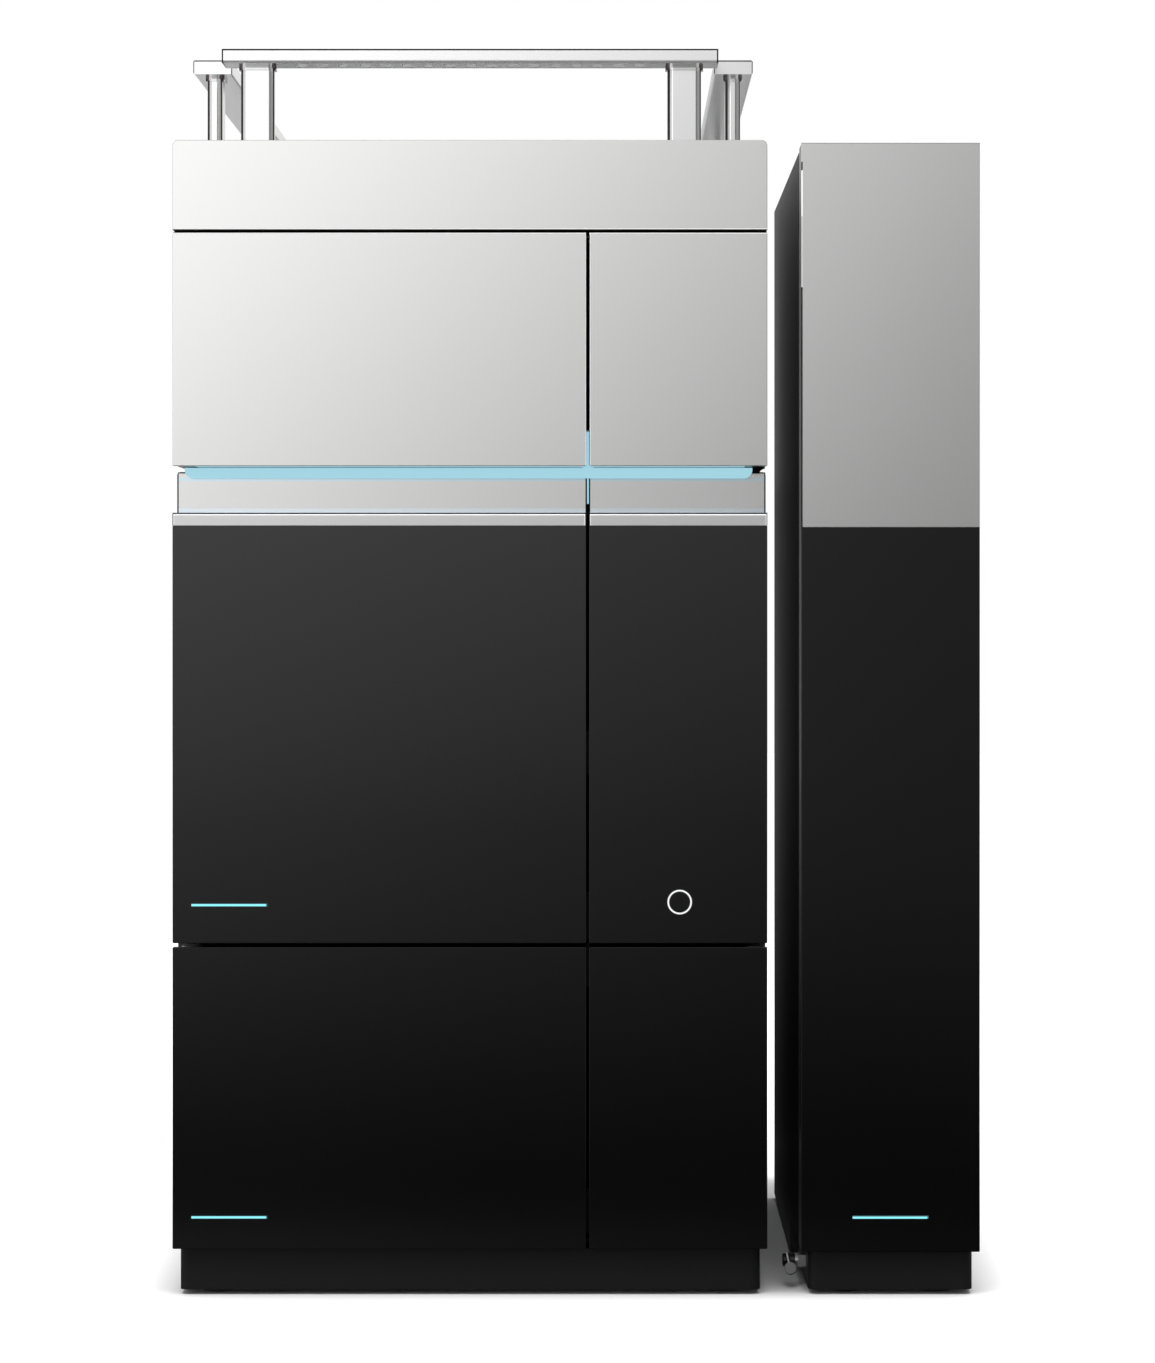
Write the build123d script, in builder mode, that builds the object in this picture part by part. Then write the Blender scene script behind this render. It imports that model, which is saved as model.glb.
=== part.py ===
"""Liquid chromatography system: a stack of three modules under a solvent tray, and a column oven tower.

Frame: origin at the middle of the footprint on the bench, +X to the right, door fronts towards -Y, +Z up.
All sizes are millimetres.
"""
from build123d import *
import os

os.makedirs("parts", exist_ok=True)

# ---------------------------------------------------------------- driving dimensions
# plan
stack_w = 420.0
stack_d = 500.0
tower_w = 126.0
tower_d = 412.0
tower_gap = 24.0
left_door_w = 292.0
split_gap = 2.2

# heights, from the bench up
foot_h = 3.5
plinth_h = 29.0
pump_door_h = 213.0
module_gap = 2.8
sampler_door_h = 304.0
trim_h = 9.0
recess_h = 33.0
fascia_drop = 3.3
detector_door_h = 165.0
detector_floor_step = 0.7
tray_gap = 1.6
tray_h = 63.5
rail_clear = 55.0
rail_h = 10.0
tower_plinth_h = 26.9
tower_door_h = 783.0
tower_upper_panel_h = 271.6
tower_top_step = 2.8

# sheet metal and mouldings
wall = 3.0
door_t = 28.0
door_back_gap = 5.0
door_skin = 3.0
rib_t = 2.0
rib_pitch = 85.0
edge_r = 0.8
fascia_t = 5.0
fascia_foot_gap = 0.5
fascia_corner_r = 2.5
plinth_inset = 5.0
plinth_setback = 2.0
plinth_corner_r = 6.0
spacer_w = 20.0
spacer_setback = 80.0
spacer_inset = 12.0
mullion_w = 20.0
mullion_d = 12.0
header_h = 36.0
rear_recess = 4.0
pump_bay_d = 150.0
detector_bay_d = 120.0

# door pivots
pivot_inset = 10.0
pin_r = 2.0
pin_fit = 0.05
pin_grip = 5.0
arm_w = 10.0
arm_t = 2.6
arm_clear = 0.4
arm_lug = 12.0
arm_lug_side = 3.0
arm_seat = 0.2
bore_spare = 0.6
stile_w = 22.0
swing_room = 8.5

# solvent tray and its rails
tray_wall = 3.0
tray_panel_t = 4.0
tray_panel_r = 4.0
tray_lip_drop = 3.0
rail_w = 28.0
rail_edge_r = 1.5
front_rail_l = 351.0
front_rail_setback = 3.0
side_rail_setback = 57.0
side_rail_tail = 8.0
side_rail_inset = 22.0
front_post_pitch = 303.4
side_post_offset = 25.0
post_w = 24.0
post_t = 11.0
post_r = 4.0
collar_h = 3.0
collar_lip = 1.5
rail_slot_w = 8.0
rail_slot_l = 16.0
rail_slot_d = 4.0
rail_slot_pitch = 15.0

# light guide, status bars and power button
guide_h = 7.3
guide_t = 6.0
guide_left_inset = 6.0
guide_right_inset = 9.7
guide_riser_w = 8.0
guide_riser_h = 26.0
guide_riser_back = 0.6
guide_end_r = 5.84
guide_gap = 0.5
guide_seat = 0.2
bar_l = 53.6
bar_h = 2.2
bar_t = 1.2
bar_inset = 13.4
sampler_bar_rise = 27.0
pump_bar_rise = 22.4
tower_bar_rise = 24.6
button_x = 148.1
button_rise = 29.1
ring_r = 8.8
ring_w = 1.5
ring_t = 2.0
button_gap = 0.3
button_l = 9.0
button_seat_r = 11.0
button_seat_t = 14.0
button_travel = 2.0
button_end_gap = 1.0
button_edge_r = 0.5
trim_edge_r = 1.5

# tower
tower_heel_setback = 154.0
upper_panel_t = 3.0
chamber_low = 110.0
chamber_high = 700.0
heater_d = 70.0
heater_w = 96.0
column_r = 5.0
column_l = 250.0
column_fitting_r = 8.0
column_fitting_l = 22.0
column_pitch = 40.0
fan_size = 80.0
fan_depth = 20.0
fan_rise = 150.0
fan_rim = 3.0
fan_corner_r = 4.0
fan_motor_r = 15.0
fan_hub_r = 14.0
fan_spider_t = 4.0
fan_strut_w = 5.0
fan_axle_r = 2.0
fan_axle_l = 16.0
fan_hub_gap = 0.5
fan_end_gap = 1.5
grille_slot_w = 4.0
grille_slot_rs = (16.0, 23.0, 30.0)
tower_vent_side = 6.0
tower_vent_low = 190.0
tower_vent_high = 60.0
heater_setback = 110.0
heater_foot_w = 50.0
column_stand = 16.0
column_lift = 90.0

# drain tap at the tower's foot
tap_depth = 37.0
tap_rise = 18.2
tap_block = 8.3
tap_collar_r = 5.0
tap_collar_l = 2.2
tap_hub_r = 4.75
tap_hub_l = 8.6
tap_spindle_r = 1.5
tap_ball_r = 4.15
tap_stand = 0.4
tap_fit = 0.3
tap_spindle_l = 6.3
tap_edge = 0.6
tap_arm_t = 1.8
tap_arm_w = 4.0
tap_arm_sink = 1.0
tap_arm_low = 5.0
tap_arm_high = 6.5
tap_ball_shift = 0.8
tap_ball_reach = 4.0
tap_ball_drop = 5.1

# ---------------------------------------------------------------- places worked out from them
total_w = stack_w + tower_gap + tower_w
left = -total_w / 2
right = left + stack_w
stack_x = (left + right) / 2
tower_left = right + tower_gap
tower_right = tower_left + tower_w
tower_x = (tower_left + tower_right) / 2
split_low = left + left_door_w
split_high = split_low + split_gap
split_x = (split_low + split_high) / 2

front = -stack_d / 2
rear = stack_d / 2
tower_rear = front + tower_d
door_back = front + door_t
housing_front = door_back + door_back_gap
pivot_y = front + door_t / 2

plinth_top = foot_h + plinth_h
pump_top = plinth_top + pump_door_h
sampler_low = pump_top + module_gap
sampler_top = sampler_low + sampler_door_h
detector_low = sampler_top + recess_h
detector_top = detector_low + detector_door_h
tray_low = detector_top + tray_gap
tray_top = tray_low + tray_h
rail_low = tray_top + rail_clear
rail_top = rail_low + rail_h
fascia_top = detector_low - fascia_drop
trim_low = sampler_top - trim_h
detector_floor = detector_low + detector_floor_step
tower_door_low = foot_h + tower_plinth_h
tower_door_top = tower_door_low + tower_door_h
tower_top = tower_door_top - tower_top_step
tower_panel_low = tower_door_top - tower_upper_panel_h


def mid(span_):
    """Middle of a (low, high) pair."""
    return (span_[0] + span_[1]) / 2


def bar(x, y, z, mode=Mode.ADD):
    """Block between two corners, given as (low, high) along each axis."""
    with Locations((mid(x), mid(y), mid(z))):
        return Box(x[1] - x[0], y[1] - y[0], z[1] - z[0], mode=mode)


def rod(radius, start, length, axis=Axis.Z, mode=Mode.ADD):
    """Cylinder from a start point along an axis."""
    along = Plane(origin=start, z_dir=axis.direction)
    with Locations(along):
        return Cylinder(radius, length, align=(Align.CENTER, Align.CENTER, Align.MIN), mode=mode)


def save(builder, name):
    """Labels a finished piece and writes its STEP file."""
    builder.part.label = name
    export_step(builder.part, f"parts/{name}.step")


forward = Axis((0, 0, 0), (0, -1, 0))
backward = Axis((0, 0, 0), (0, 1, 0))
downward = Axis((0, 0, 0), (0, 0, -1))
leftward = Axis((0, 0, 0), (-1, 0, 0))

# ---------------------------------------------------------------- door pivots
# Each entry is (pivot x, level of the hinge arm's middle, +1 where the pin points up into the door).
arm_half = arm_t / 2
low_arm = arm_seat + arm_half
left_pivot = left + pivot_inset
right_pivot = right - pivot_inset
tower_pivot = tower_right - pivot_inset
pump_arms = (plinth_top + low_arm, pump_top - low_arm)
sampler_arms = (sampler_low + low_arm, sampler_top - low_arm)
detector_arms = (detector_floor + low_arm, detector_top - low_arm)
tower_arms = (tower_door_low + low_arm, tower_top - low_arm)
pivots = []
for pivot_x in (left_pivot, right_pivot):
    for arms in (pump_arms, sampler_arms, detector_arms):
        pivots += [(pivot_x, arms[0], 1), (pivot_x, arms[1], -1)]
pivots += [(tower_pivot, tower_arms[0], 1), (tower_pivot, tower_arms[1], -1)]


def cut_pivot_seat(pivot_x, hinge, arm_z, door_end):
    """Cuts the notch that the hinge arm swings in, and the bore for its pin, into a door's end.

    hinge is -1 where the door hangs at its low-X side, +1 at its high-X side.
    """
    up = 1 if door_end < arm_z else -1
    outer = pivot_x + hinge * (pivot_inset + 1)
    inner = pivot_x - hinge * (arm_w / 2 + arm_clear)
    seat = arm_z + up * (arm_half + arm_clear)
    beyond = door_end - up
    bar(
        (min(inner, outer), max(inner, outer)),
        (pivot_y - swing_room, door_back + 1),
        (min(beyond, seat), max(beyond, seat)),
        mode=Mode.SUBTRACT,
    )
    bore_l = pin_grip + bore_spare
    toward = Axis.Z if up > 0 else downward
    rod(pin_r + pin_fit, (pivot_x, pivot_y, seat - up * 0.01), bore_l, toward, mode=Mode.SUBTRACT)


def add_door_tray(x, z, hinge, y_front=front):
    """Door moulding: a front skin, edges turned back, ribs behind and a solid stile at the hinge."""
    with BuildSketch(Plane.XZ.offset(-y_front)) as outline:
        with Locations((mid(x), mid(z))):
            RectangleRounded(x[1] - x[0], z[1] - z[0], edge_r)
    extrude(outline.sketch, amount=-(door_back - y_front))
    fillet(faces().sort_by(Axis.Y)[0].edges(), radius=edge_r / 2)
    cell_x = (x[0] + stile_w, x[1] - wall) if hinge < 0 else (x[0] + wall, x[1] - stile_w)
    cell_z = (z[0] + stile_w / 2, z[1] - stile_w / 2)
    wide = max(1, round((cell_x[1] - cell_x[0]) / rib_pitch))
    high = max(1, round((cell_z[1] - cell_z[0]) / rib_pitch))
    pitch_x = (cell_x[1] - cell_x[0] + rib_t) / wide
    pitch_z = (cell_z[1] - cell_z[0] + rib_t) / high
    with BuildSketch(Plane.XZ.offset(-door_back)) as cells:
        with Locations((mid(cell_x), mid(cell_z))):
            with GridLocations(pitch_x, pitch_z, wide, high):
                RectangleRounded(pitch_x - rib_t, pitch_z - rib_t, rib_t)
    extrude(cells.sketch, amount=door_back - y_front - door_skin, mode=Mode.SUBTRACT)


# ---------------------------------------------------------------- bases and feet
with BuildPart() as stack_plinth:
    plinth_x = (left + plinth_inset, right - plinth_inset)
    plinth_y = (front + plinth_setback, rear - plinth_inset)
    bar(plinth_x, plinth_y, (foot_h, plinth_top))
    fillet(stack_plinth.edges().filter_by(Axis.Z), radius=plinth_corner_r)
    foot_pad = 44.0
    hollow_x = (plinth_x[0] + wall, plinth_x[1] - wall)
    hollow_y = (plinth_y[0] + wall, plinth_y[1] - wall)
    hollow_z = (foot_h - 1, plinth_top - wall)
    bar((hollow_x[0] + foot_pad, hollow_x[1] - foot_pad), hollow_y, hollow_z, mode=Mode.SUBTRACT)
    bar(hollow_x, (hollow_y[0] + foot_pad, hollow_y[1] - foot_pad), hollow_z, mode=Mode.SUBTRACT)
save(stack_plinth, "stack_plinth")

with BuildPart() as tower_plinth:
    tower_plinth_x = (tower_left + plinth_inset, tower_right - plinth_inset)
    tower_plinth_y = (front + plinth_setback, front + tower_heel_setback)
    bar(tower_plinth_x, tower_plinth_y, (foot_h, tower_door_low))
    front_corners = tower_plinth.edges().filter_by(Axis.Z).group_by(Axis.Y)[0]
    fillet(front_corners, radius=plinth_corner_r)
save(tower_plinth, "tower_plinth")

foot_r = 15.0
foot_inset = 26.0
with BuildPart() as rubber_feet:
    stack_foot_y = (plinth_y[0] + foot_inset, plinth_y[1] - foot_inset)
    tower_foot_y = (tower_plinth_y[0] + foot_inset, tower_rear - foot_inset)
    for foot_x in (plinth_x[0] + foot_inset, plinth_x[1] - foot_inset):
        for foot_y in stack_foot_y:
            rod(foot_r, (foot_x, foot_y, 0), foot_h)
    for foot_x in (tower_plinth_x[0] + foot_inset, tower_plinth_x[1] - foot_inset):
        for foot_y in tower_foot_y:
            rod(foot_r, (foot_x, foot_y, 0), foot_h)
    chamfer(rubber_feet.edges().group_by(Axis.Z)[0], length=0.6)
save(rubber_feet, "rubber_feet")


# ---------------------------------------------------------------- module housings
def add_sleeve(x, y, z):
    """Folded sheet sleeve, open at the front and at the back."""
    with BuildSketch(Plane.XZ.offset(-y[0])) as section:
        with Locations((mid(x), mid(z))):
            Rectangle(x[1] - x[0], z[1] - z[0])
            Rectangle(x[1] - x[0] - 2 * wall, z[1] - z[0] - 2 * wall, mode=Mode.SUBTRACT)
    extrude(section.sketch, amount=-(y[1] - y[0]))


def add_arm_lugs(pivot_x, z_span, arms):
    """Blocks in the housing's front corners that the hinge arms are fixed to."""
    half = arm_w / 2 + arm_lug_side
    for arm_z in arms:
        lug_z = (max(z_span[0], arm_z - arm_lug / 2), min(z_span[1], arm_z + arm_lug / 2))
        bar((pivot_x - half, pivot_x + half), (housing_front, housing_front + arm_lug), lug_z)


def add_housing(z_span, arms):
    """Sleeve of one stack module with the post between its doors and the hinge lugs."""
    add_sleeve((left, right), (housing_front, rear), z_span)
    post_x = (split_x - mullion_w / 2, split_x + mullion_w / 2)
    bar(post_x, (housing_front, housing_front + mullion_d), (z_span[0] + 1, z_span[1] - 1))
    for pivot_x in (left_pivot, right_pivot):
        add_arm_lugs(pivot_x, z_span, arms)


pump_z = (plinth_top, pump_top)
sampler_z = (sampler_low, fascia_top)
detector_z = (detector_floor, tray_low)
inner_x = (left + wall, right - wall)

with BuildPart() as pump_housing:
    add_housing(pump_z, pump_arms)
save(pump_housing, "pump_housing")

with BuildPart() as sampler_housing:
    add_housing(sampler_z, sampler_arms)
    bar((left, right), (housing_front, housing_front + wall), (fascia_top - header_h, fascia_top))
save(sampler_housing, "sampler_housing")

with BuildPart() as detector_housing:
    add_housing(detector_z, detector_arms)
save(detector_housing, "detector_housing")

with BuildPart() as stacking_spacers:
    ring_x = (left + spacer_inset, right - spacer_inset)
    ring_y = (front + spacer_setback, rear - spacer_inset)
    for gap_z in ((pump_top, sampler_low), (fascia_top, detector_floor)):
        bar(ring_x, ring_y, gap_z)
        bar(
            (ring_x[0] + spacer_w, ring_x[1] - spacer_w),
            (ring_y[0] + spacer_w, ring_y[1] - spacer_w),
            gap_z,
            mode=Mode.SUBTRACT,
        )
save(stacking_spacers, "stacking_spacers")

# ---------------------------------------------------------------- rear panels, mains inlets and vents
inlet_w = 50.0
inlet_h = 28.0
inlet_d = 24.0
inlet_flange = 3.0
inlet_rise = 30.0
inlet_inset = 60.0
vent_l = 26.0
vent_w = 4.0
vent_pitch_x = 32.0
vent_pitch_z = 10.0
vent_margin = 60.0
pump_vent_low = 40.0
pump_vent_high = 60.0
sampler_vent_low = 60.0
sampler_vent_h = 90.0
detector_vent_margin = 40.0
socket_w = 24.0
socket_h = 16.0
socket_d = 16.0
socket_shift = 9.0
inlet_rim_t = 2.0
blade_t = 2.0
blade_h = 4.0
blade_l = 11.0
blade_places = ((-7.0, -3.0), (0.0, 3.0), (7.0, -3.0))
switch_shift = 14.5
switch_w = 13.0
switch_h = 18.0
switch_t = 2.5
panel_y = rear - rear_recess
tower_panel_y = tower_rear - rear_recess
tower_inlet_x = tower_left + tower_w / 2
inlets = [
    (right - inlet_inset, panel_y, plinth_top + inlet_rise),
    (right - inlet_inset, panel_y, sampler_low + inlet_rise),
    (right - inlet_inset, panel_y, detector_floor + inlet_rise),
    (tower_inlet_x, tower_panel_y, tower_door_low + inlet_rise),
]


def add_rear_panel(x, z, outer_y, inlet, vent_x, vent_z):
    """Rear panel with its mains inlet cutout and a field of cooling slots."""
    bar(x, (outer_y - wall, outer_y), z)
    slots_wide = max(1, int((vent_x[1] - vent_x[0]) / vent_pitch_x))
    slots_high = max(1, int((vent_z[1] - vent_z[0]) / vent_pitch_z))
    with BuildSketch(Plane.XZ.offset(-outer_y)) as cutouts:
        with Locations((mid(vent_x), mid(vent_z))):
            with GridLocations(vent_pitch_x, vent_pitch_z, slots_wide, slots_high):
                SlotOverall(vent_l, vent_w)
        with Locations((inlet[0], inlet[2])):
            Rectangle(inlet_w, inlet_h)
    extrude(cutouts.sketch, amount=wall, mode=Mode.SUBTRACT)


vent_x = (left + vent_margin, right - 2 * inlet_inset)
with BuildPart() as pump_rear_panel:
    panel_z = (pump_z[0] + wall, pump_z[1] - wall)
    vent_z = (panel_z[0] + pump_vent_low, panel_z[1] - pump_vent_high)
    add_rear_panel(inner_x, panel_z, panel_y, inlets[0], vent_x, vent_z)
save(pump_rear_panel, "pump_rear_panel")

with BuildPart() as sampler_rear_panel:
    panel_z = (sampler_z[0] + wall, sampler_z[1] - wall)
    vent_z = (panel_z[0] + sampler_vent_low, panel_z[0] + sampler_vent_low + sampler_vent_h)
    add_rear_panel(inner_x, panel_z, panel_y, inlets[1], vent_x, vent_z)
save(sampler_rear_panel, "sampler_rear_panel")

with BuildPart() as detector_rear_panel:
    panel_z = (detector_z[0] + wall, detector_z[1] - wall)
    vent_z = (panel_z[0] + detector_vent_margin, panel_z[1] - detector_vent_margin)
    add_rear_panel(inner_x, panel_z, panel_y, inlets[2], vent_x, vent_z)
save(detector_rear_panel, "detector_rear_panel")

with BuildPart() as mains_inlets:
    for inlet_x, inlet_y, inlet_z in inlets:
        rim_x = (inlet_x - inlet_w / 2 - inlet_flange, inlet_x + inlet_w / 2 + inlet_flange)
        rim_z = (inlet_z - inlet_h / 2 - inlet_flange, inlet_z + inlet_h / 2 + inlet_flange)
        rim_y = inlet_y + inlet_rim_t
        bar(rim_x, (inlet_y, rim_y), rim_z)
        body_x = (inlet_x - inlet_w / 2, inlet_x + inlet_w / 2)
        body_z = (inlet_z - inlet_h / 2, inlet_z + inlet_h / 2)
        bar(body_x, (inlet_y - inlet_d, inlet_y), body_z)
        socket_mid = inlet_x - socket_shift
        socket_x = (socket_mid - socket_w / 2, socket_mid + socket_w / 2)
        socket_z = (inlet_z - socket_h / 2, inlet_z + socket_h / 2)
        socket_back = inlet_y - socket_d
        bar(socket_x, (socket_back, rim_y + 1), socket_z, mode=Mode.SUBTRACT)
        for pin_x, pin_z in blade_places:
            blade_x = (socket_mid + pin_x - blade_t / 2, socket_mid + pin_x + blade_t / 2)
            blade_z = (inlet_z + pin_z - blade_h / 2, inlet_z + pin_z + blade_h / 2)
            bar(blade_x, (socket_back - 1, socket_back + blade_l), blade_z)
        switch_mid = inlet_x + switch_shift
        switch_x = (switch_mid - switch_w / 2, switch_mid + switch_w / 2)
        bar(switch_x, (rim_y - 1, rim_y - 1 + switch_t), (inlet_z - switch_h / 2, inlet_z + switch_h / 2))
save(mains_inlets, "mains_inlets")

# ---------------------------------------------------------------- recess between sampler and detector
for side, fascia_x in (("left", (left, split_low)), ("right", (split_high, right))):
    with BuildPart() as fascia:
        fascia_z = (sampler_top + fascia_foot_gap, fascia_top)
        bar(fascia_x, (housing_front - fascia_t, housing_front), fascia_z)
        top_corners = fascia.edges().filter_by(Axis.Y).group_by(Axis.Z)[-1].sort_by(Axis.X)
        fillet(top_corners[0 if side == "left" else -1], radius=fascia_corner_r)
    save(fascia, f"recess_fascia_{side}")

guide_top = detector_low - guide_gap
with BuildPart() as light_guide:
    guide_x = (left + guide_left_inset, right - guide_right_inset)
    guide_y = (door_back - guide_t, door_back)
    bar(guide_x, guide_y, (guide_top - guide_h, guide_top))
    end_edges = light_guide.edges().filter_by(Axis.Y).group_by(Axis.Z)[0]
    fillet(end_edges, radius=min(guide_end_r, 0.9 * guide_h))
    bar(guide_x, (door_back, housing_front), (fascia_top + guide_seat, guide_top))
    riser_x = (split_x - guide_riser_w / 2, split_x + guide_riser_w / 2)
    riser_y = (door_back + guide_riser_back, housing_front)
    bar(riser_x, riser_y, (guide_top - 1, guide_top + guide_riser_h))
save(light_guide, "light_guide")

# ---------------------------------------------------------------- solvent tray and rails
with BuildPart() as solvent_tray:
    tray_y = (front + tray_panel_t, rear)
    bar((left, right), tray_y, (tray_low, tray_top - tray_lip_drop))
    fillet(solvent_tray.edges().filter_by(Axis.Z).group_by(Axis.Y)[-1], radius=tray_panel_r)
    bar(
        (left + tray_wall, right - tray_wall),
        (tray_y[0] + tray_wall, tray_y[1] - tray_wall),
        (tray_low + tray_wall, tray_top),
        mode=Mode.SUBTRACT,
    )
save(solvent_tray, "solvent_tray")

with BuildPart() as tray_front_panel:
    with BuildSketch(Plane.XZ.offset(-front)):
        with Locations((stack_x, (tray_low + tray_top) / 2)):
            Rectangle(stack_w, tray_h)
    extrude(amount=-tray_panel_t)
    top_corners = tray_front_panel.edges().filter_by(Axis.Y).group_by(Axis.Z)[-1]
    fillet(top_corners, radius=tray_panel_r)
    fillet(tray_front_panel.faces().sort_by(Axis.Y)[0].edges(), radius=edge_r / 2)
save(tray_front_panel, "tray_front_panel")

post_foot = tray_low + tray_wall
front_post_y = front + front_rail_setback + rail_w / 2 + post_t / 2
side_posts_y = (
    front + side_rail_setback + side_post_offset,
    rear - side_rail_tail - side_post_offset,
)
side_rails_x = (left + side_rail_inset, right - side_rail_inset)
front_posts_x = (stack_x - front_post_pitch / 2, stack_x + front_post_pitch / 2)
posts = [(post_x, front_post_y, True) for post_x in front_posts_x]
posts += [(post_x, post_y, False) for post_x in side_rails_x for post_y in side_posts_y]
with BuildPart() as rail_posts:
    for post_x, post_y, facing in posts:
        size = (post_w, post_t) if facing else (post_t, post_w)
        with BuildSketch(Plane.XY.offset(post_foot)):
            with Locations((post_x, post_y)):
                RectangleRounded(size[0], size[1], post_r)
        extrude(amount=rail_low - post_foot)
        with BuildSketch(Plane.XY.offset(rail_low - collar_h)):
            with Locations((post_x, post_y)):
                RectangleRounded(size[0] + 2 * collar_lip, size[1] + 2 * collar_lip, post_r + collar_lip)
        extrude(amount=collar_h)
save(rail_posts, "rail_posts")

with BuildPart() as tray_rails:
    rail_x = (stack_x - front_rail_l / 2, stack_x + front_rail_l / 2)
    rail_y = (front + front_rail_setback, front + front_rail_setback + rail_w)
    bar(rail_x, rail_y, (rail_low, rail_top))
    side_rail_y = (front + side_rail_setback, rear - side_rail_tail)
    for rail_centre in side_rails_x:
        bar((rail_centre - rail_w / 2, rail_centre + rail_w / 2), side_rail_y, (rail_low, rail_top))
    for rail in tray_rails.solids():
        fillet(rail.edges().group_by(SortBy.LENGTH)[-1], radius=rail_edge_r)
    slots_between_posts = int((front_post_pitch - 2 * post_w) / rail_slot_pitch)
    with BuildSketch(Plane.XY.offset(rail_low)):
        with Locations((stack_x, mid(rail_y))):
            with GridLocations(rail_slot_pitch, 1, slots_between_posts, 1):
                Rectangle(rail_slot_w, rail_slot_l)
    extrude(amount=rail_slot_d, mode=Mode.SUBTRACT)
save(tray_rails, "tray_rails")

# ---------------------------------------------------------------- stack doors
left_x = (left, split_low)
right_x = (split_high, right)
sides = (("left", left_x, left_pivot, -1), ("right", right_x, right_pivot, 1))

for side, door_x, pivot_x, hinge in sides:
    with BuildPart() as pump_door:
        add_door_tray(door_x, (plinth_top, pump_top), hinge)
        cut_pivot_seat(pivot_x, hinge, pump_arms[0], plinth_top)
        cut_pivot_seat(pivot_x, hinge, pump_arms[1], pump_top)
        if side == "left":
            bar_x = (left + bar_inset, left + bar_inset + bar_l)
            pump_bar_mid = plinth_top + pump_bar_rise
            pump_bar_z = (pump_bar_mid - bar_h / 2, pump_bar_mid + bar_h / 2)
            bar(bar_x, (front - 1, front + bar_t), pump_bar_z, mode=Mode.SUBTRACT)
    save(pump_door, f"pump_door_{side}")

    with BuildPart() as detector_door:
        add_door_tray(door_x, (detector_low, detector_top), hinge)
        cut_pivot_seat(pivot_x, hinge, detector_arms[0], detector_low)
        cut_pivot_seat(pivot_x, hinge, detector_arms[1], detector_top)
    save(detector_door, f"detector_door_{side}")

    with BuildPart() as sampler_door:
        add_door_tray(door_x, (sampler_low, trim_low), hinge)
        cut_pivot_seat(pivot_x, hinge, sampler_arms[0], sampler_low)
        if side == "left":
            sampler_bar_mid = sampler_low + sampler_bar_rise
            sampler_bar_z = (sampler_bar_mid - bar_h / 2, sampler_bar_mid + bar_h / 2)
            bar(bar_x, (front - 1, front + bar_t), sampler_bar_z, mode=Mode.SUBTRACT)
        else:
            button_at = (stack_x + button_x, front, sampler_low + button_rise)
            rod(button_seat_r, (button_at[0], front + door_skin, button_at[2]), button_seat_t, backward)
            rod(ring_r, button_at, ring_t, backward, mode=Mode.SUBTRACT)
            button_bore_l = button_l + button_travel + button_end_gap
            rod(ring_r - ring_w, button_at, button_bore_l, backward, mode=Mode.SUBTRACT)
    save(sampler_door, f"sampler_door_{side}")

    with BuildPart() as trim:
        bar(door_x, (front, door_back), (trim_low, sampler_top))
        fillet(trim.edges().filter_by(Axis.X).group_by(Axis.Z)[-1], radius=trim_edge_r)
        cut_pivot_seat(pivot_x, hinge, sampler_arms[1], sampler_top)
    save(trim, f"sampler_trim_{side}")

with BuildPart() as pump_status_bar:
    bar(bar_x, (front, front + bar_t), pump_bar_z)
save(pump_status_bar, "pump_status_bar")

with BuildPart() as sampler_status_bar:
    bar(bar_x, (front, front + bar_t), sampler_bar_z)
save(sampler_status_bar, "sampler_status_bar")

button_r = ring_r - ring_w - button_gap
with BuildPart() as button_light_ring:
    rod(ring_r, button_at, ring_t, backward)
    rod(ring_r - ring_w, button_at, ring_t, backward, mode=Mode.SUBTRACT)
save(button_light_ring, "button_light_ring")

with BuildPart() as power_button:
    rod(button_r, button_at, button_l, backward)
    fillet(power_button.edges().group_by(Axis.Y)[0], radius=button_edge_r)
save(power_button, "power_button")

# ---------------------------------------------------------------- hinge arms, pins and catches
with BuildPart() as hinge_brackets:
    for pivot_x, arm_z, _ in pivots:
        with BuildSketch(Plane.XY.offset(arm_z - arm_half)):
            with Locations((pivot_x, (pivot_y + housing_front) / 2)):
                Rectangle(arm_w, housing_front - pivot_y)
            with Locations((pivot_x, pivot_y)):
                Circle(arm_w / 2)
                Circle(pin_r, mode=Mode.SUBTRACT)
        extrude(amount=arm_t)
save(hinge_brackets, "hinge_brackets")

with BuildPart() as hinge_pins:
    for pivot_x, arm_z, up in pivots:
        toward = Axis.Z if up > 0 else downward
        start = (pivot_x, pivot_y, arm_z - up * arm_half)
        rod(pin_r, start, arm_t + arm_clear + pin_grip, toward)
save(hinge_pins, "hinge_pins")

catch_h = 31.0
catch_w = 12.0
catch_gap = 0.3
low_catch_rise = 6.3
sampler_catch_rise = 2.3
middle_catch_rise = 117.4
catch_lows = (
    plinth_top + low_catch_rise,
    pump_top - catch_h,
    sampler_low + sampler_catch_rise,
    sampler_low + middle_catch_rise,
)
with BuildPart() as door_catches:
    for catch_low in catch_lows:
        catch_x = (split_x - catch_w / 2, split_x + catch_w / 2)
        bar(catch_x, (door_back + catch_gap, housing_front), (catch_low, catch_low + catch_h))
save(door_catches, "door_catches")

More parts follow.
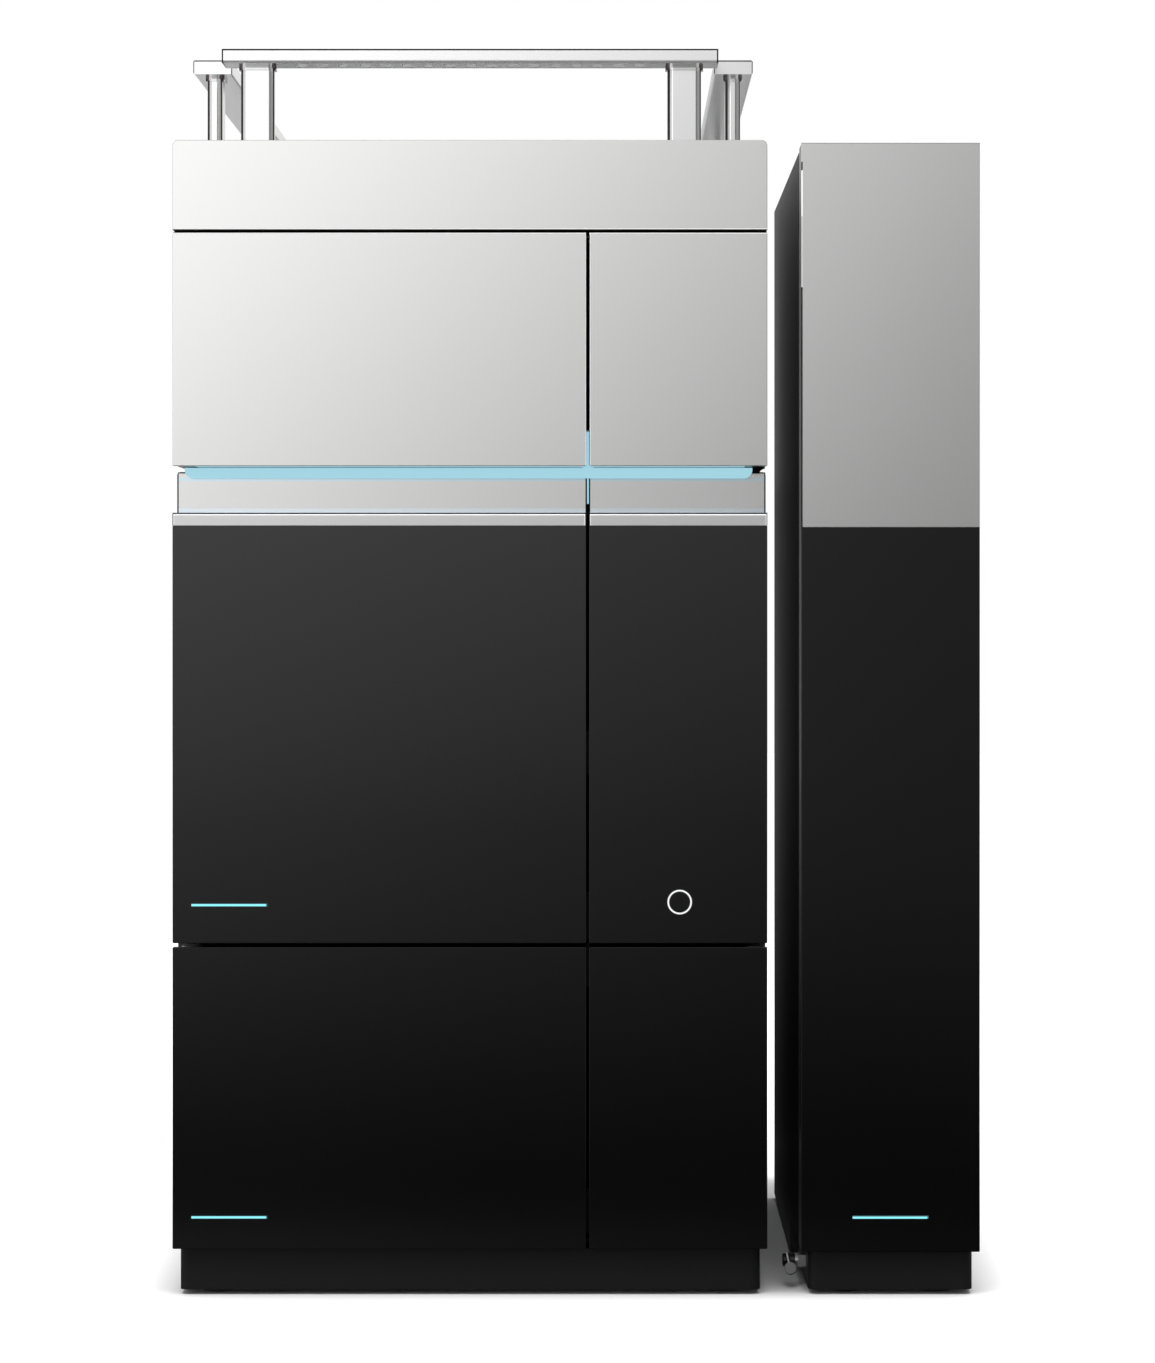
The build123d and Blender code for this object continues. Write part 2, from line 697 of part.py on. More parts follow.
# ---------------------------------------------------------------- pump module insides
pump_head_rise = 118.0
pump_head_shift = 85.0
pump_head_pitch = 90.0
head_flange_r = 30.0
head_flange_l = 12.0
head_body_r = 23.0
head_body_l = 46.0
head_cap_r = 15.0
head_cap_l = 16.0
head_nose_r = 6.0
head_nose_l = 10.0
check_valve_r = 6.0
check_valve_l = 22.0
check_valve_sink = 3.0
check_valve_reach = 38.0
purge_shift = 45.0
purge_boss_l = 26.0
purge_boss_r = 13.0
purge_spindle_r = 3.0
purge_spindle_l = 14.0
purge_knob_r = 15.0
purge_knob_gap = 0.3
purge_knob_cover = 2.0
grip_r = 1.8
grip_count = 12
degasser_inset = 30.0
degasser_w = 180.0
degasser_d = 60.0
degasser_h = 55.0
degasser_corner_r = 3.0
degasser_port_r = 5.0
degasser_port_l = 12.0
degasser_port_pitch = 20.0
degasser_port_count = 8
mixer_inset = 75.0
mixer_stand = 20.0
mixer_r = 13.0
mixer_l = 60.0
mixer_fitting_r = 5.0
mixer_fitting_l = 88.0
mixer_foot = 16.0
mixer_foot_h = 20.0

pump_panel_y = housing_front + pump_bay_d
head_z = plinth_top + pump_head_rise
head_mid = stack_x - pump_head_shift
head_x = (head_mid - pump_head_pitch / 2, head_mid + pump_head_pitch / 2)
purge_at = (stack_x + purge_shift, pump_panel_y, head_z)
purge_boss_y = pump_panel_y - purge_boss_l
with BuildPart() as pump_inner_panel:
    bar(inner_x, (pump_panel_y, pump_panel_y + wall), (pump_z[0] + wall, pump_z[1] - wall))
    rod(purge_boss_r, purge_at, purge_boss_l, forward)
    rod(purge_spindle_r, (purge_at[0], purge_boss_y, purge_at[2]), purge_spindle_l, forward)
save(pump_inner_panel, "pump_inner_panel")

with BuildPart() as purge_knob:
    with BuildSketch(Plane.XZ.offset(-(purge_boss_y - purge_knob_gap))):
        with Locations((purge_at[0], purge_at[2])):
            Circle(purge_knob_r)
            with PolarLocations(purge_knob_r + grip_r / 4, grip_count):
                Circle(grip_r, mode=Mode.SUBTRACT)
            Circle(purge_spindle_r + pin_fit, mode=Mode.SUBTRACT)
    extrude(amount=purge_spindle_l + purge_knob_cover)
save(purge_knob, "purge_knob")

head_steps = (
    (head_flange_r, head_flange_l),
    (head_body_r, head_body_l),
    (head_cap_r, head_cap_l),
    (head_nose_r, head_nose_l),
)
with BuildPart() as pump_heads:
    for centre_x in head_x:
        step_y = pump_panel_y
        for step_r, step_l in head_steps:
            rod(step_r, (centre_x, step_y, head_z), step_l, forward)
            step_y -= step_l
        valve_y = pump_panel_y - check_valve_reach
        valve_rise = head_body_r - check_valve_sink
        rod(check_valve_r, (centre_x, valve_y, head_z + valve_rise), check_valve_l)
        rod(check_valve_r, (centre_x, valve_y, head_z - valve_rise), check_valve_l, downward)
save(pump_heads, "pump_heads")

with BuildPart() as degasser:
    degasser_x = (left + degasser_inset, left + degasser_inset + degasser_w)
    degasser_y = (pump_panel_y - degasser_d, pump_panel_y)
    degasser_z = (plinth_top + wall, plinth_top + wall + degasser_h)
    bar(degasser_x, degasser_y, degasser_z)
    fillet(degasser.edges().filter_by(Axis.Y), radius=degasser_corner_r)
    for port in range(degasser_port_count):
        port_x = mid(degasser_x) + (port - (degasser_port_count - 1) / 2) * degasser_port_pitch
        rod(degasser_port_r, (port_x, degasser_y[0], mid(degasser_z)), degasser_port_l, forward)
save(degasser, "degasser")

with BuildPart() as mixer:
    mixer_x = right - mixer_inset
    mixer_y = pump_panel_y - mixer_stand
    rod(mixer_r, (mixer_x - mixer_l / 2, mixer_y, head_z), mixer_l, Axis.X)
    rod(mixer_fitting_r, (mixer_x - mixer_fitting_l / 2, mixer_y, head_z), mixer_fitting_l, Axis.X)
    bar(
        (mixer_x - mixer_foot / 2, mixer_x + mixer_foot / 2),
        (mixer_y, pump_panel_y),
        (head_z - mixer_foot_h / 2, head_z + mixer_foot_h / 2),
    )
save(mixer, "mixer")

# ---------------------------------------------------------------- sampler insides
carousel_shift = 65.0
carousel_front_gap = 10.0
carousel_back_gap = 8.0
carousel_r = 112.0
carousel_t = 32.0
carousel_lift = 4.0
carousel_roof = 4.0
drive_r = 60.0
drive_h = 26.0
shaft_r = 6.0
shaft_end_gap = 2.0
vial_r = 5.8
vial_l = 32.0
vial_seat_l = 20.0
vial_fit = 0.1
outer_ring_r = 98.0
inner_ring_r = 72.0
outer_vial_count = 24
inner_vial_count = 16
port_gap = 7.0
port_w = 24.0
port_shift = 1.0
port_d = 30.0
port_rise = 28.0
port_bore_r = 2.5
port_bore_l = 20.0
port_foot_h = 10.0
needle_r = 0.8
needle_rest = 50.0
holder_r = 4.0
holder_l = 12.0
head_l = 80.0
head_w = 20.0
cross_rail_rise = 220.0
cross_rail_h = 20.0
cross_rail_d = 20.0
cross_rail_inset = 10.0
cross_rail_past = 5.0
carriage_w = 40.0
carriage_d = 20.0
carriage_cover = 15.0
carriage_arm_w = 16.0
slide_gap = 0.3
valve_rise_z = 200.0
valve_motor_r = 32.0
valve_motor_l = 70.0
valve_stator_r = 24.0
valve_stator_l = 22.0
valve_port_r = 4.5
valve_port_l = 14.0
valve_port_ring_r = 15.0
valve_port_count = 6
syringe_rise = 30.0
syringe_base_w = 36.0
syringe_base_d = 40.0
syringe_base_h = 110.0
barrel_r = 9.0
barrel_l = 70.0
barrel_stand = 12.0
barrel_rise = 20.0
plunger_r = 3.0
clamp_w = 24.0
clamp_d = 22.0
clamp_h = 12.0
clamp_rises = (8.0, 90.0)

sampler_floor = sampler_low + wall
carousel_at = (
    stack_x - carousel_shift,
    housing_front + carousel_front_gap + carousel_r,
    sampler_floor + drive_h + carousel_lift,
)
carousel_top = carousel_at[2] + carousel_t
sampler_panel_y = carousel_at[1] + carousel_r + carousel_back_gap
vial_rings = ((outer_ring_r, outer_vial_count), (inner_ring_r, inner_vial_count))
port_x = (carousel_at[0] + carousel_r + port_gap, carousel_at[0] + carousel_r + port_gap + port_w)
port_at = (mid(port_x) - port_shift, carousel_at[1])
port_y = (port_at[1] - port_d / 2, port_at[1] + port_d / 2)
port_top = carousel_top + port_rise
rail_z = (sampler_floor + cross_rail_rise, sampler_floor + cross_rail_rise + cross_rail_h)
rail_front = sampler_panel_y - cross_rail_d
carriage_front = rail_front - carriage_d
head_low = mid(rail_z) - head_l / 2
needle_tip = port_top + needle_rest

with BuildPart() as sampler_inner_panel:
    panel_z = (sampler_z[0] + wall, sampler_z[1] - wall)
    bar(inner_x, (sampler_panel_y, sampler_panel_y + wall), panel_z)
    cross_rail_x = (inner_x[0] + cross_rail_inset, split_x + cross_rail_past)
    bar(cross_rail_x, (rail_front, sampler_panel_y), rail_z)
save(sampler_inner_panel, "sampler_inner_panel")

with BuildPart() as carousel_drive:
    rod(drive_r, (carousel_at[0], carousel_at[1], sampler_floor), drive_h)
    shaft_l = carousel_lift + carousel_t - carousel_roof - shaft_end_gap
    rod(shaft_r, (carousel_at[0], carousel_at[1], sampler_floor + drive_h), shaft_l)
    bar(port_x, port_y, (sampler_floor, port_top))
    bar((carousel_at[0], port_at[0]), port_y, (sampler_floor, sampler_floor + port_foot_h))
    rod(port_bore_r, (port_at[0], port_at[1], port_top), port_bore_l, downward, mode=Mode.SUBTRACT)
save(carousel_drive, "carousel_drive")

with BuildPart() as carousel:
    rod(carousel_r, carousel_at, carousel_t)
    rod(shaft_r + pin_fit, carousel_at, carousel_t - carousel_roof, mode=Mode.SUBTRACT)
    for ring_radius, count in vial_rings:
        with BuildSketch(Plane.XY.offset(carousel_top)):
            with Locations((carousel_at[0], carousel_at[1])):
                with PolarLocations(ring_radius, count):
                    Circle(vial_r + vial_fit)
        extrude(amount=-vial_seat_l, mode=Mode.SUBTRACT)
save(carousel, "carousel")

with BuildPart() as sample_vials:
    for ring_radius, count in vial_rings:
        with BuildSketch(Plane.XY.offset(carousel_top - vial_seat_l)):
            with Locations((carousel_at[0], carousel_at[1])):
                with PolarLocations(ring_radius, count):
                    Circle(vial_r)
        extrude(amount=vial_l)
save(sample_vials, "sample_vials")

with BuildPart() as needle_carriage:
    carriage_x = (port_at[0] - carriage_w / 2, port_at[0] + carriage_w / 2)
    carriage_z = (rail_z[0] - carriage_cover, rail_z[1] + carriage_cover)
    bar(carriage_x, (carriage_front, rail_front - slide_gap), carriage_z)
    carriage_arm_x = (port_at[0] - carriage_arm_w / 2, port_at[0] + carriage_arm_w / 2)
    bar(carriage_arm_x, (port_at[1] + head_w / 2 + slide_gap, carriage_front), rail_z)
save(needle_carriage, "needle_carriage")

with BuildPart() as needle_head:
    head_block_x = (port_at[0] - head_w / 2, port_at[0] + head_w / 2)
    head_block_y = (port_at[1] - head_w / 2, port_at[1] + head_w / 2)
    bar(head_block_x, head_block_y, (head_low, head_low + head_l))
    rod(holder_r, (port_at[0], port_at[1], head_low - holder_l), holder_l)
    rod(needle_r, (port_at[0], port_at[1], needle_tip), head_low - holder_l - needle_tip)
save(needle_head, "needle_head")

with BuildPart() as injection_valve:
    valve_at = (mid(right_x), sampler_panel_y, sampler_floor + valve_rise_z)
    stator_y = valve_at[1] - valve_motor_l
    ports_y = stator_y - valve_stator_l
    rod(valve_motor_r, valve_at, valve_motor_l, forward)
    rod(valve_stator_r, (valve_at[0], stator_y, valve_at[2]), valve_stator_l, forward)
    with BuildSketch(Plane.XZ.offset(-ports_y)):
        with Locations((valve_at[0], valve_at[2])):
            with PolarLocations(valve_port_ring_r, valve_port_count):
                Circle(valve_port_r)
    extrude(amount=valve_port_l)
save(injection_valve, "injection_valve")

with BuildPart() as syringe:
    base_y = sampler_panel_y - syringe_base_d
    base_low = sampler_floor + syringe_rise
    base_x = (valve_at[0] - syringe_base_w / 2, valve_at[0] + syringe_base_w / 2)
    bar(base_x, (base_y, sampler_panel_y), (base_low, base_low + syringe_base_h))
    rod(barrel_r, (valve_at[0], base_y - barrel_stand, base_low + barrel_rise), barrel_l)
    rod(plunger_r, (valve_at[0], base_y - barrel_stand, base_low), syringe_base_h)
    clamp_x = (valve_at[0] - clamp_w / 2, valve_at[0] + clamp_w / 2)
    for clamp_rise in clamp_rises:
        clamp_low = base_low + clamp_rise
        bar(clamp_x, (base_y - clamp_d, base_y), (clamp_low, clamp_low + clamp_h))
save(syringe, "syringe")

# ---------------------------------------------------------------- detector insides
lamp_inset = 40.0
lamp_w = 90.0
lamp_rise = 40.0
lamp_d = 50.0
fin_pitch = 10.0
fin_slot_w = 4.0
fin_slot_d = 30.0
fin_slot_count = 8
cell_shift = 20.0
cell_w = 80.0
cell_h = 60.0
cell_rise = 55.0
cell_d = 34.0
cell_corner_r = 6.0
cell_port_r = 6.0
cell_port_l = 18.0
cell_port_inset = 18.0

detector_panel_y = housing_front + detector_bay_d
with BuildPart() as detector_inner_panel:
    panel_z = (detector_z[0] + wall, detector_z[1] - wall)
    bar(inner_x, (detector_panel_y, detector_panel_y + wall), panel_z)
save(detector_inner_panel, "detector_inner_panel")

with BuildPart() as lamp_housing:
    lamp_x = (left + lamp_inset, left + lamp_inset + lamp_w)
    lamp_z = (detector_floor + lamp_rise, detector_floor + lamp_rise + lamp_w)
    lamp_front = detector_panel_y - lamp_d
    bar(lamp_x, (lamp_front, detector_panel_y), lamp_z)
    with BuildSketch(Plane.XZ.offset(-lamp_front)):
        with Locations((mid(lamp_x), mid(lamp_z))):
            with GridLocations(fin_pitch, 1, fin_slot_count, 1):
                Rectangle(fin_slot_w, lamp_z[1] - lamp_z[0])
    extrude(amount=-fin_slot_d, mode=Mode.SUBTRACT)
save(lamp_housing, "lamp_housing")

with BuildPart() as flow_cell:
    cell_x = (stack_x - cell_shift, stack_x - cell_shift + cell_w)
    cell_z = (detector_floor + cell_rise, detector_floor + cell_rise + cell_h)
    cell_front = detector_panel_y - cell_d
    bar(cell_x, (cell_front, detector_panel_y), cell_z)
    fillet(flow_cell.edges().filter_by(Axis.Y), radius=cell_corner_r)
    for cell_port in (cell_x[0] + cell_port_inset, cell_x[1] - cell_port_inset):
        rod(cell_port_r, (cell_port, cell_front, mid(cell_z)), cell_port_l, forward)
save(flow_cell, "flow_cell")

# ---------------------------------------------------------------- tower
heel_y = front + tower_heel_setback
tower_inner_x = (tower_left + wall, tower_right - wall)
with BuildPart() as tower_housing:
    add_sleeve((tower_left, tower_right), (housing_front, tower_rear), (tower_door_low, tower_top))
    bar((tower_left, tower_right), (heel_y, tower_rear), (foot_h, tower_door_low + wall))
    heel_z = (foot_h + wall, tower_door_low + wall)
    bar(tower_inner_x, (heel_y + wall, tower_rear + 1), heel_z, mode=Mode.SUBTRACT)
    add_arm_lugs(tower_pivot, (tower_door_low, tower_top), tower_arms)
save(tower_housing, "tower_housing")

fan_at = (tower_x, tower_panel_y, tower_door_low + fan_rise)
fan_r = fan_size / 2 - fan_rim
with BuildPart() as tower_rear_panel:
    panel_z = (foot_h + wall, tower_top - wall)
    vent_x = (tower_inner_x[0] + tower_vent_side, tower_inner_x[1] - tower_vent_side)
    vent_z = (tower_top - tower_vent_low, tower_top - tower_vent_high)
    add_rear_panel(tower_inner_x, panel_z, tower_panel_y, inlets[3], vent_x, vent_z)
    with BuildSketch(Plane.XZ.offset(-tower_panel_y)):
        with Locations((fan_at[0], fan_at[2])):
            for slot_radius in grille_slot_rs:
                for turn in range(4):
                    with PolarLocations(0, 1, start_angle=turn * 90 + 45):
                        SlotArc(CenterArc((0, 0), slot_radius, -36, 72), grille_slot_w)
    extrude(amount=wall, mode=Mode.SUBTRACT)
save(tower_rear_panel, "tower_rear_panel")

with BuildPart() as fan_frame:
    fan_y = (fan_at[1] - wall - fan_depth, fan_at[1] - wall)
    fan_x = (fan_at[0] - fan_size / 2, fan_at[0] + fan_size / 2)
    bar(fan_x, fan_y, (fan_at[2] - fan_size / 2, fan_at[2] + fan_size / 2))
    fillet(fan_frame.edges().filter_by(Axis.Y), radius=fan_corner_r)
    rod(fan_r, (fan_at[0], fan_y[0] - 1, fan_at[2]), fan_depth + 2, backward, mode=Mode.SUBTRACT)
    spider_y = (fan_y[0], fan_y[0] + fan_spider_t)
    rod(fan_motor_r, (fan_at[0], fan_y[0], fan_at[2]), fan_spider_t, backward)
    for turn in (45, 135):
        with Locations(Location((fan_at[0], mid(spider_y), fan_at[2]), (0, turn, 0))):
            Box(2 * fan_r + 2, fan_spider_t, fan_strut_w)
    rod(fan_axle_r, (fan_at[0], fan_y[0], fan_at[2]), fan_axle_l, backward)
save(fan_frame, "fan_frame")

fan_blade_count = 7
fan_blade_span = (12.0, 35.0)
fan_blade_chord = 15.0
fan_blade_t = 1.6
fan_blade_pitch = 35.0
with BuildPart() as fan_rotor:
    hub_y = (spider_y[1] + fan_hub_gap, fan_y[1] - fan_end_gap)
    rod(fan_hub_r, (fan_at[0], hub_y[0], fan_at[2]), hub_y[1] - hub_y[0], backward)
    for blade in range(fan_blade_count):
        turned = Location((fan_at[0], mid(hub_y), fan_at[2]), (0, blade * 360 / fan_blade_count, 0))
        with Locations(turned):
            with Locations(Location((mid(fan_blade_span), 0, 0), (fan_blade_pitch, 0, 0))):
                Box(fan_blade_span[1] - fan_blade_span[0], fan_blade_t, fan_blade_chord)
    bore_start = hub_y[0] - fan_hub_gap
    bore_l = fan_y[0] + fan_axle_l + fan_hub_gap - bore_start
    rod(fan_axle_r + pin_fit, (fan_at[0], bore_start, fan_at[2]), bore_l, backward, mode=Mode.SUBTRACT)
save(fan_rotor, "fan_rotor")

heater_back = housing_front + heater_setback
heater_wall = 8.0
heater_rim = 6.0
column_y = heater_back - heater_wall - column_stand
column_mid = (chamber_low + chamber_high) / 2 + column_lift
column_xs = (tower_x - column_pitch / 2, tower_x + column_pitch / 2)
clip_h = 10.0
clip_w = 14.0
clip_spread = 60.0
with BuildPart() as heater_block:
    heater_x = (tower_x - heater_w / 2, tower_x + heater_w / 2)
    heater_y = (heater_back - heater_d, heater_back)
    bar(heater_x, heater_y, (chamber_low, chamber_high))
    groove_x = (heater_x[0] + heater_rim, heater_x[1] - heater_rim)
    groove_z = (chamber_low + heater_rim, chamber_high - heater_rim)
    bar(groove_x, (heater_y[0] - 1, heater_y[1] - heater_wall), groove_z, mode=Mode.SUBTRACT)
    for foot_z in ((tower_door_low + wall, chamber_low), (chamber_high, tower_top - wall)):
        heater_foot_x = (tower_x - heater_foot_w / 2, tower_x + heater_foot_w / 2)
        bar(heater_foot_x, (heater_back - heater_wall, heater_back), foot_z)
    for column_x in column_xs:
        for clip_z in (column_mid - clip_spread, column_mid + clip_spread):
            with BuildSketch(Plane.XY.offset(clip_z)):
                with Locations((column_x, (column_y + heater_back - heater_wall) / 2)):
                    Rectangle(clip_w, heater_back - heater_wall - column_y)
                with Locations((column_x, column_y)):
                    Circle(clip_w / 2)
                    Circle(column_r, mode=Mode.SUBTRACT)
                with Locations((column_x, column_y - clip_w / 2)):
                    Rectangle(clip_w / 2, clip_w / 2, mode=Mode.SUBTRACT)
            extrude(amount=clip_h)
save(heater_block, "heater_block")

with BuildPart() as columns:
    for column_x in column_xs:
        low_z = column_mid - column_l / 2
        rod(column_r, (column_x, column_y, low_z), column_l)
        rod(column_fitting_r, (column_x, column_y, low_z), column_fitting_l)
        rod(column_fitting_r, (column_x, column_y, low_z + column_l - column_fitting_l), column_fitting_l)
save(columns, "columns")

with BuildPart() as tower_door:
    add_door_tray((tower_left, tower_right), (tower_door_low, tower_door_top), 1)
    bar(
        (tower_left - 1, tower_right + 1),
        (front - 1, front + upper_panel_t),
        (tower_panel_low, tower_door_top + 1),
        mode=Mode.SUBTRACT,
    )
    cut_pivot_seat(tower_pivot, 1, tower_arms[0], tower_door_low)
    cut_pivot_seat(tower_pivot, 1, tower_arms[1], tower_door_top)
    tower_bar_x = (tower_x - bar_l / 2, tower_x + bar_l / 2)
    tower_bar_mid = tower_door_low + tower_bar_rise
    tower_bar_z = (tower_bar_mid - bar_h / 2, tower_bar_mid + bar_h / 2)
    bar(tower_bar_x, (front - 1, front + bar_t), tower_bar_z, mode=Mode.SUBTRACT)
save(tower_door, "tower_door")

with BuildPart() as tower_upper_panel:
    bar((tower_left, tower_right), (front, front + upper_panel_t), (tower_panel_low, tower_door_top))
    fillet(tower_upper_panel.faces().sort_by(Axis.Y)[0].edges(), radius=edge_r / 2)
save(tower_upper_panel, "tower_upper_panel")

with BuildPart() as tower_status_bar:
    bar(tower_bar_x, (front, front + bar_t), tower_bar_z)
save(tower_status_bar, "tower_status_bar")

# ---------------------------------------------------------------- drain tap
tap_y = front + tap_depth
tap_side = tower_plinth_x[0]
collar_x = tap_side - plinth_inset - tap_stand
hub_x = collar_x - tap_collar_l - tap_fit
with BuildPart() as drain_tap_body:
    half = tap_block / 2
    bar((collar_x, tap_side), (tap_y - half, tap_y + half), (tap_rise - half, tap_rise + half))
    rod(tap_collar_r, (collar_x, tap_y, tap_rise), tap_collar_l, leftward)
    rod(tap_spindle_r, (hub_x + tap_fit, tap_y, tap_rise), tap_spindle_l, leftward)
save(drain_tap_body, "drain_tap_body")

with BuildPart() as drain_tap_lever:
    rod(tap_hub_r, (hub_x, tap_y, tap_rise), tap_hub_l, leftward)
    chamfer(drain_tap_lever.edges().group_by(Axis.X)[0], length=tap_edge)
    arm_x = hub_x - tap_hub_l / 2
    arm_y = (tap_y - tap_hub_r + tap_arm_sink - tap_arm_w, tap_y - tap_hub_r + tap_arm_sink)
    arm_z = (tap_rise - tap_arm_low, tap_rise + tap_arm_high)
    bar((arm_x - tap_arm_t / 2, arm_x + tap_arm_t / 2), arm_y, arm_z)
    ball_at = (arm_x + tap_ball_shift, tap_y - tap_hub_r - tap_ball_reach, tap_rise - tap_ball_drop)
    with Locations(ball_at):
        Sphere(tap_ball_r)
    bore_at = (hub_x + 0.01, tap_y, tap_rise)
    rod(tap_spindle_r + pin_fit, bore_at, tap_spindle_l + tap_fit, leftward, mode=Mode.SUBTRACT)
save(drain_tap_lever, "drain_tap_lever")
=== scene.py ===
"""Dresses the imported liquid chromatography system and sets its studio.

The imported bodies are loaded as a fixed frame. Each sub-assembly is a class that gives its bodies their finishes and
builds the small pieces that the frame doesn't have. The frame and the studio are in metres, and the sizes of the
small pieces and of the painted edge lines in millimetres.
"""
from __future__ import annotations

import logging
import math
from dataclasses import dataclass, field, replace
from enum import Enum
from typing import Any, Sequence

import bmesh
import bpy
from mathutils import Euler, Matrix, Vector


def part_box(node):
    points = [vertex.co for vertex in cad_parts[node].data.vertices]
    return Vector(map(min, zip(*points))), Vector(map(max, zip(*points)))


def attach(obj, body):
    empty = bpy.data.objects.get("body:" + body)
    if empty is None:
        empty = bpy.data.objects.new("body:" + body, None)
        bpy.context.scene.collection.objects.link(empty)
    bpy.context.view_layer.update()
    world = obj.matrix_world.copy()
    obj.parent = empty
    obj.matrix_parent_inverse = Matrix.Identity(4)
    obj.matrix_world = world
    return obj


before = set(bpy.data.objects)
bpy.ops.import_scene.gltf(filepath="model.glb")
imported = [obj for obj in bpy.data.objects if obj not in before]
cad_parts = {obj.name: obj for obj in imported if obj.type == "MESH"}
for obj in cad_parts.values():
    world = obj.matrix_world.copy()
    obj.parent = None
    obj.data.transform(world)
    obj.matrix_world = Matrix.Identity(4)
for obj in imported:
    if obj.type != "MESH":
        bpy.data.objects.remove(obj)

Colour = tuple[float, float, float]
Point = tuple[float, float, float]
Profile = tuple[tuple[float, float], ...]

log = logging.getLogger("dressing")
MM = 0.001
WHITE: Colour = (1.0, 1.0, 1.0)


# ---------------------------------------------------------------- shader building
class Value:
    """A shader socket that can be used in plain arithmetic."""

    def __init__(self, shader: Shader, socket: Any) -> None:
        """Keeps the socket and the shader it belongs to."""
        self.shader = shader
        self.socket = socket

    def _math(self, operation: str, first: Any, second: Any) -> Value:
        """Adds one Math node."""
        return self.shader.node("ShaderNodeMath", {"operation": operation}, {0: first, 1: second})

    def __add__(self, other: Any) -> Value:
        """Adds another value."""
        return self._math("ADD", self, other)

    def __radd__(self, other: Any) -> Value:
        """Adds to a number."""
        return self._math("ADD", other, self)

    def __sub__(self, other: Any) -> Value:
        """Subtracts another value."""
        return self._math("SUBTRACT", self, other)

    def __rsub__(self, other: Any) -> Value:
        """Subtracts from a number."""
        return self._math("SUBTRACT", other, self)

    def __mul__(self, other: Any) -> Value:
        """Multiplies by another value."""
        return self._math("MULTIPLY", self, other)

    def __truediv__(self, other: Any) -> Value:
        """Divides by another value."""
        return self._math("DIVIDE", self, other)


